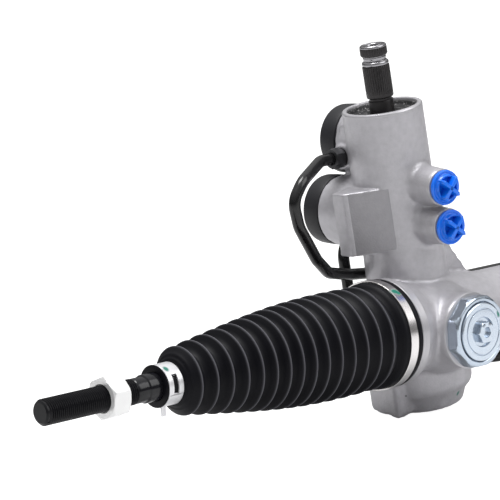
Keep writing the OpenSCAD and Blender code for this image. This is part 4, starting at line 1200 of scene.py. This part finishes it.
class STEERING_OT_stage(SteeringGearStep, bpy.types.Operator):
    """Sets the floor, the surroundings, the lights and the camera"""

    bl_idname = "steering_gear.stage"
    bl_label = "Stage"

    FLOOR_SIZE, FLOOR_GAP, FLOOR_COLOUR = 40, 0.0005, (0.75, 0.75, 0.75)
    # Between these heights the surroundings go from the horizon's strength to the sky's
    SKY_FROM, SKY_TO = 0.1, 0.9
    # Setting, size, place and aim of each light
    LIGHTS = (("key", 1.4, (0.7, -1.4, 1.2), (0.05, 0, 0)),
              ("fill", 1, (-0.35, 0.15, 2), (0, 0, 0)))
    # The camera's right, up and back, its place and its focal length
    CAMERA_AXES = ((0.728776, -0.682534, -0.055063), (0.141596, 0.071536, 0.987336),
                   (-0.669952, -0.727344, 0.148778))
    CAMERA_PLACE, LENS = (-1.2621, -1.2950, 0.2465), 197.32

    def show(self, tree, share, base, seen, out):
        """Mixes a second shader into what the surface shows."""
        mixed = add_node(tree, "MixShader", {"Fac": share, 1: base, 2: seen})
        feed(tree, out.inputs["Surface"], mixed.outputs["Shader"])

    def floor(self, s, height):
        bm = bmesh.new()
        bmesh.ops.create_grid(bm, x_segments=1, y_segments=1, size=self.FLOOR_SIZE)
        obj = as_object(bm, "floor")
        obj.location = (0, 0, height)
        material, tree, shader = shaded("pale_floor", self.FLOOR_COLOUR, Roughness=0.9,
                                        Specular_IOR_Level=0.1)
        glow = add_node(tree, "Emission", {"Color": WHITE, "Strength": s.floor_white})
        path = add_node(tree, "LightPath")
        share = add_node(tree, "Math", {0: path.outputs["Is Camera Ray"], 1: s.floor_lift},
                         operation="MULTIPLY")
        self.show(tree, share.outputs["Value"], shader.outputs["BSDF"],
                  glow.outputs["Emission"], tree.nodes["Material Output"])
        obj.data.materials.append(material)
        obj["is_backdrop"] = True

    def light(self, name, power, size, place, aim):
        data = bpy.data.lights.new(name, "AREA")
        data.energy, data.shape = power, "RECTANGLE"
        data.size = data.size_y = size
        obj = linked(name, data)
        obj.location = place
        obj.rotation_mode = "QUATERNION"
        obj.rotation_quaternion = (Vector(aim) - Vector(place)).to_track_quat("-Z", "Y")
        obj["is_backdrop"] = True

    def surroundings(self, s):
        scene = bpy.context.scene
        world = scene.world or bpy.data.worlds.new("World")
        scene.world = world
        world.use_nodes = True
        tree = world.node_tree
        tree.nodes.clear()
        coords = add_node(tree, "TexCoord")
        split = add_node(tree, "SeparateXYZ", {"Vector": coords.outputs["Generated"]})
        height = add_node(tree, "MapRange", {
            "Value": split.outputs["Z"], "From Min": self.SKY_FROM, "From Max": self.SKY_TO,
            "To Min": s.horizon, "To Max": s.sky})
        sky = add_node(tree, "Background", {"Color": WHITE, "Strength": height.outputs["Result"]})
        white = add_node(tree, "Background", {"Color": WHITE})
        path = add_node(tree, "LightPath")
        self.show(tree, path.outputs["Is Camera Ray"], sky.outputs["Background"],
                  white.outputs["Background"], add_node(tree, "OutputWorld"))

    def camera(self):
        """The camera that the photograph was taken with, as fitted to it."""
        data = bpy.data.cameras.new("Camera")
        obj = linked("Camera", data)
        data.sensor_width, data.lens = 36, self.LENS
        data.clip_start, data.clip_end = 0.05, 100
        turn = Matrix(self.CAMERA_AXES).transposed().to_4x4()
        obj.matrix_world = shifted(*self.CAMERA_PLACE) @ turn
        bpy.context.scene.camera = obj

    def build(self, settings):
        s = settings.stage
        low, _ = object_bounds()
        self.floor(s, low.z - self.FLOOR_GAP)
        self.surroundings(s)
        for name, size, place, aim in self.LIGHTS:
            self.light(name + "_light", getattr(s, name), size, place, aim)
        self.camera()
        bpy.context.scene.view_settings.view_transform = "Standard"


STEPS = (
    STEERING_OT_finishes,
    STEERING_OT_castings,
    STEERING_OT_boots,
    STEERING_OT_boot_clamps,
    STEERING_OT_tie_rods,
    STEERING_OT_jam_nuts,
    STEERING_OT_input_shaft,
    STEERING_OT_tower_seal,
    STEERING_OT_adjuster,
    STEERING_OT_port_caps,
    STEERING_OT_pipes,
    STEERING_OT_mount_bushes,
    STEERING_OT_stage,
)


class STEERING_PT_panel(bpy.types.Panel):
    """Lists the steps that build the steering gear"""

    bl_idname = "STEERING_PT_panel"
    bl_label = "Steering gear"
    bl_space_type = "VIEW_3D"
    bl_region_type = "UI"
    bl_category = "Steering gear"

    def draw(self, context):
        settings = context.scene.steering_gear
        for group in ("look", "casting", "boot", "rod", "shaft", "stage"):
            box = self.layout.box()
            values = getattr(settings, group)
            for name in values.bl_rna.properties.keys():
                if name not in ("rna_type", "name"):
                    box.prop(values, name)
        for step in STEPS:
            self.layout.operator(step.bl_idname)


CLASSES = (
    SteeringGearLook,
    SteeringGearCasting,
    SteeringGearBoot,
    SteeringGearRod,
    SteeringGearShaft,
    SteeringGearStage,
    SteeringGearSettings,
    *STEPS,
    STEERING_PT_panel,
)


def register():
    for cls in CLASSES:
        bpy.utils.register_class(cls)
    bpy.types.Scene.steering_gear = PointerProperty(type=SteeringGearSettings)


def unregister():
    del bpy.types.Scene.steering_gear
    for cls in reversed(CLASSES):
        bpy.utils.unregister_class(cls)


def main():
    register()
    for step in STEPS:
        group, name = step.bl_idname.split(".")
        result = getattr(getattr(bpy.ops, group), name)()
        if result != {"FINISHED"}:
            raise RuntimeError(step.bl_label + " did not finish")


if __name__ == "__main__":
    main()
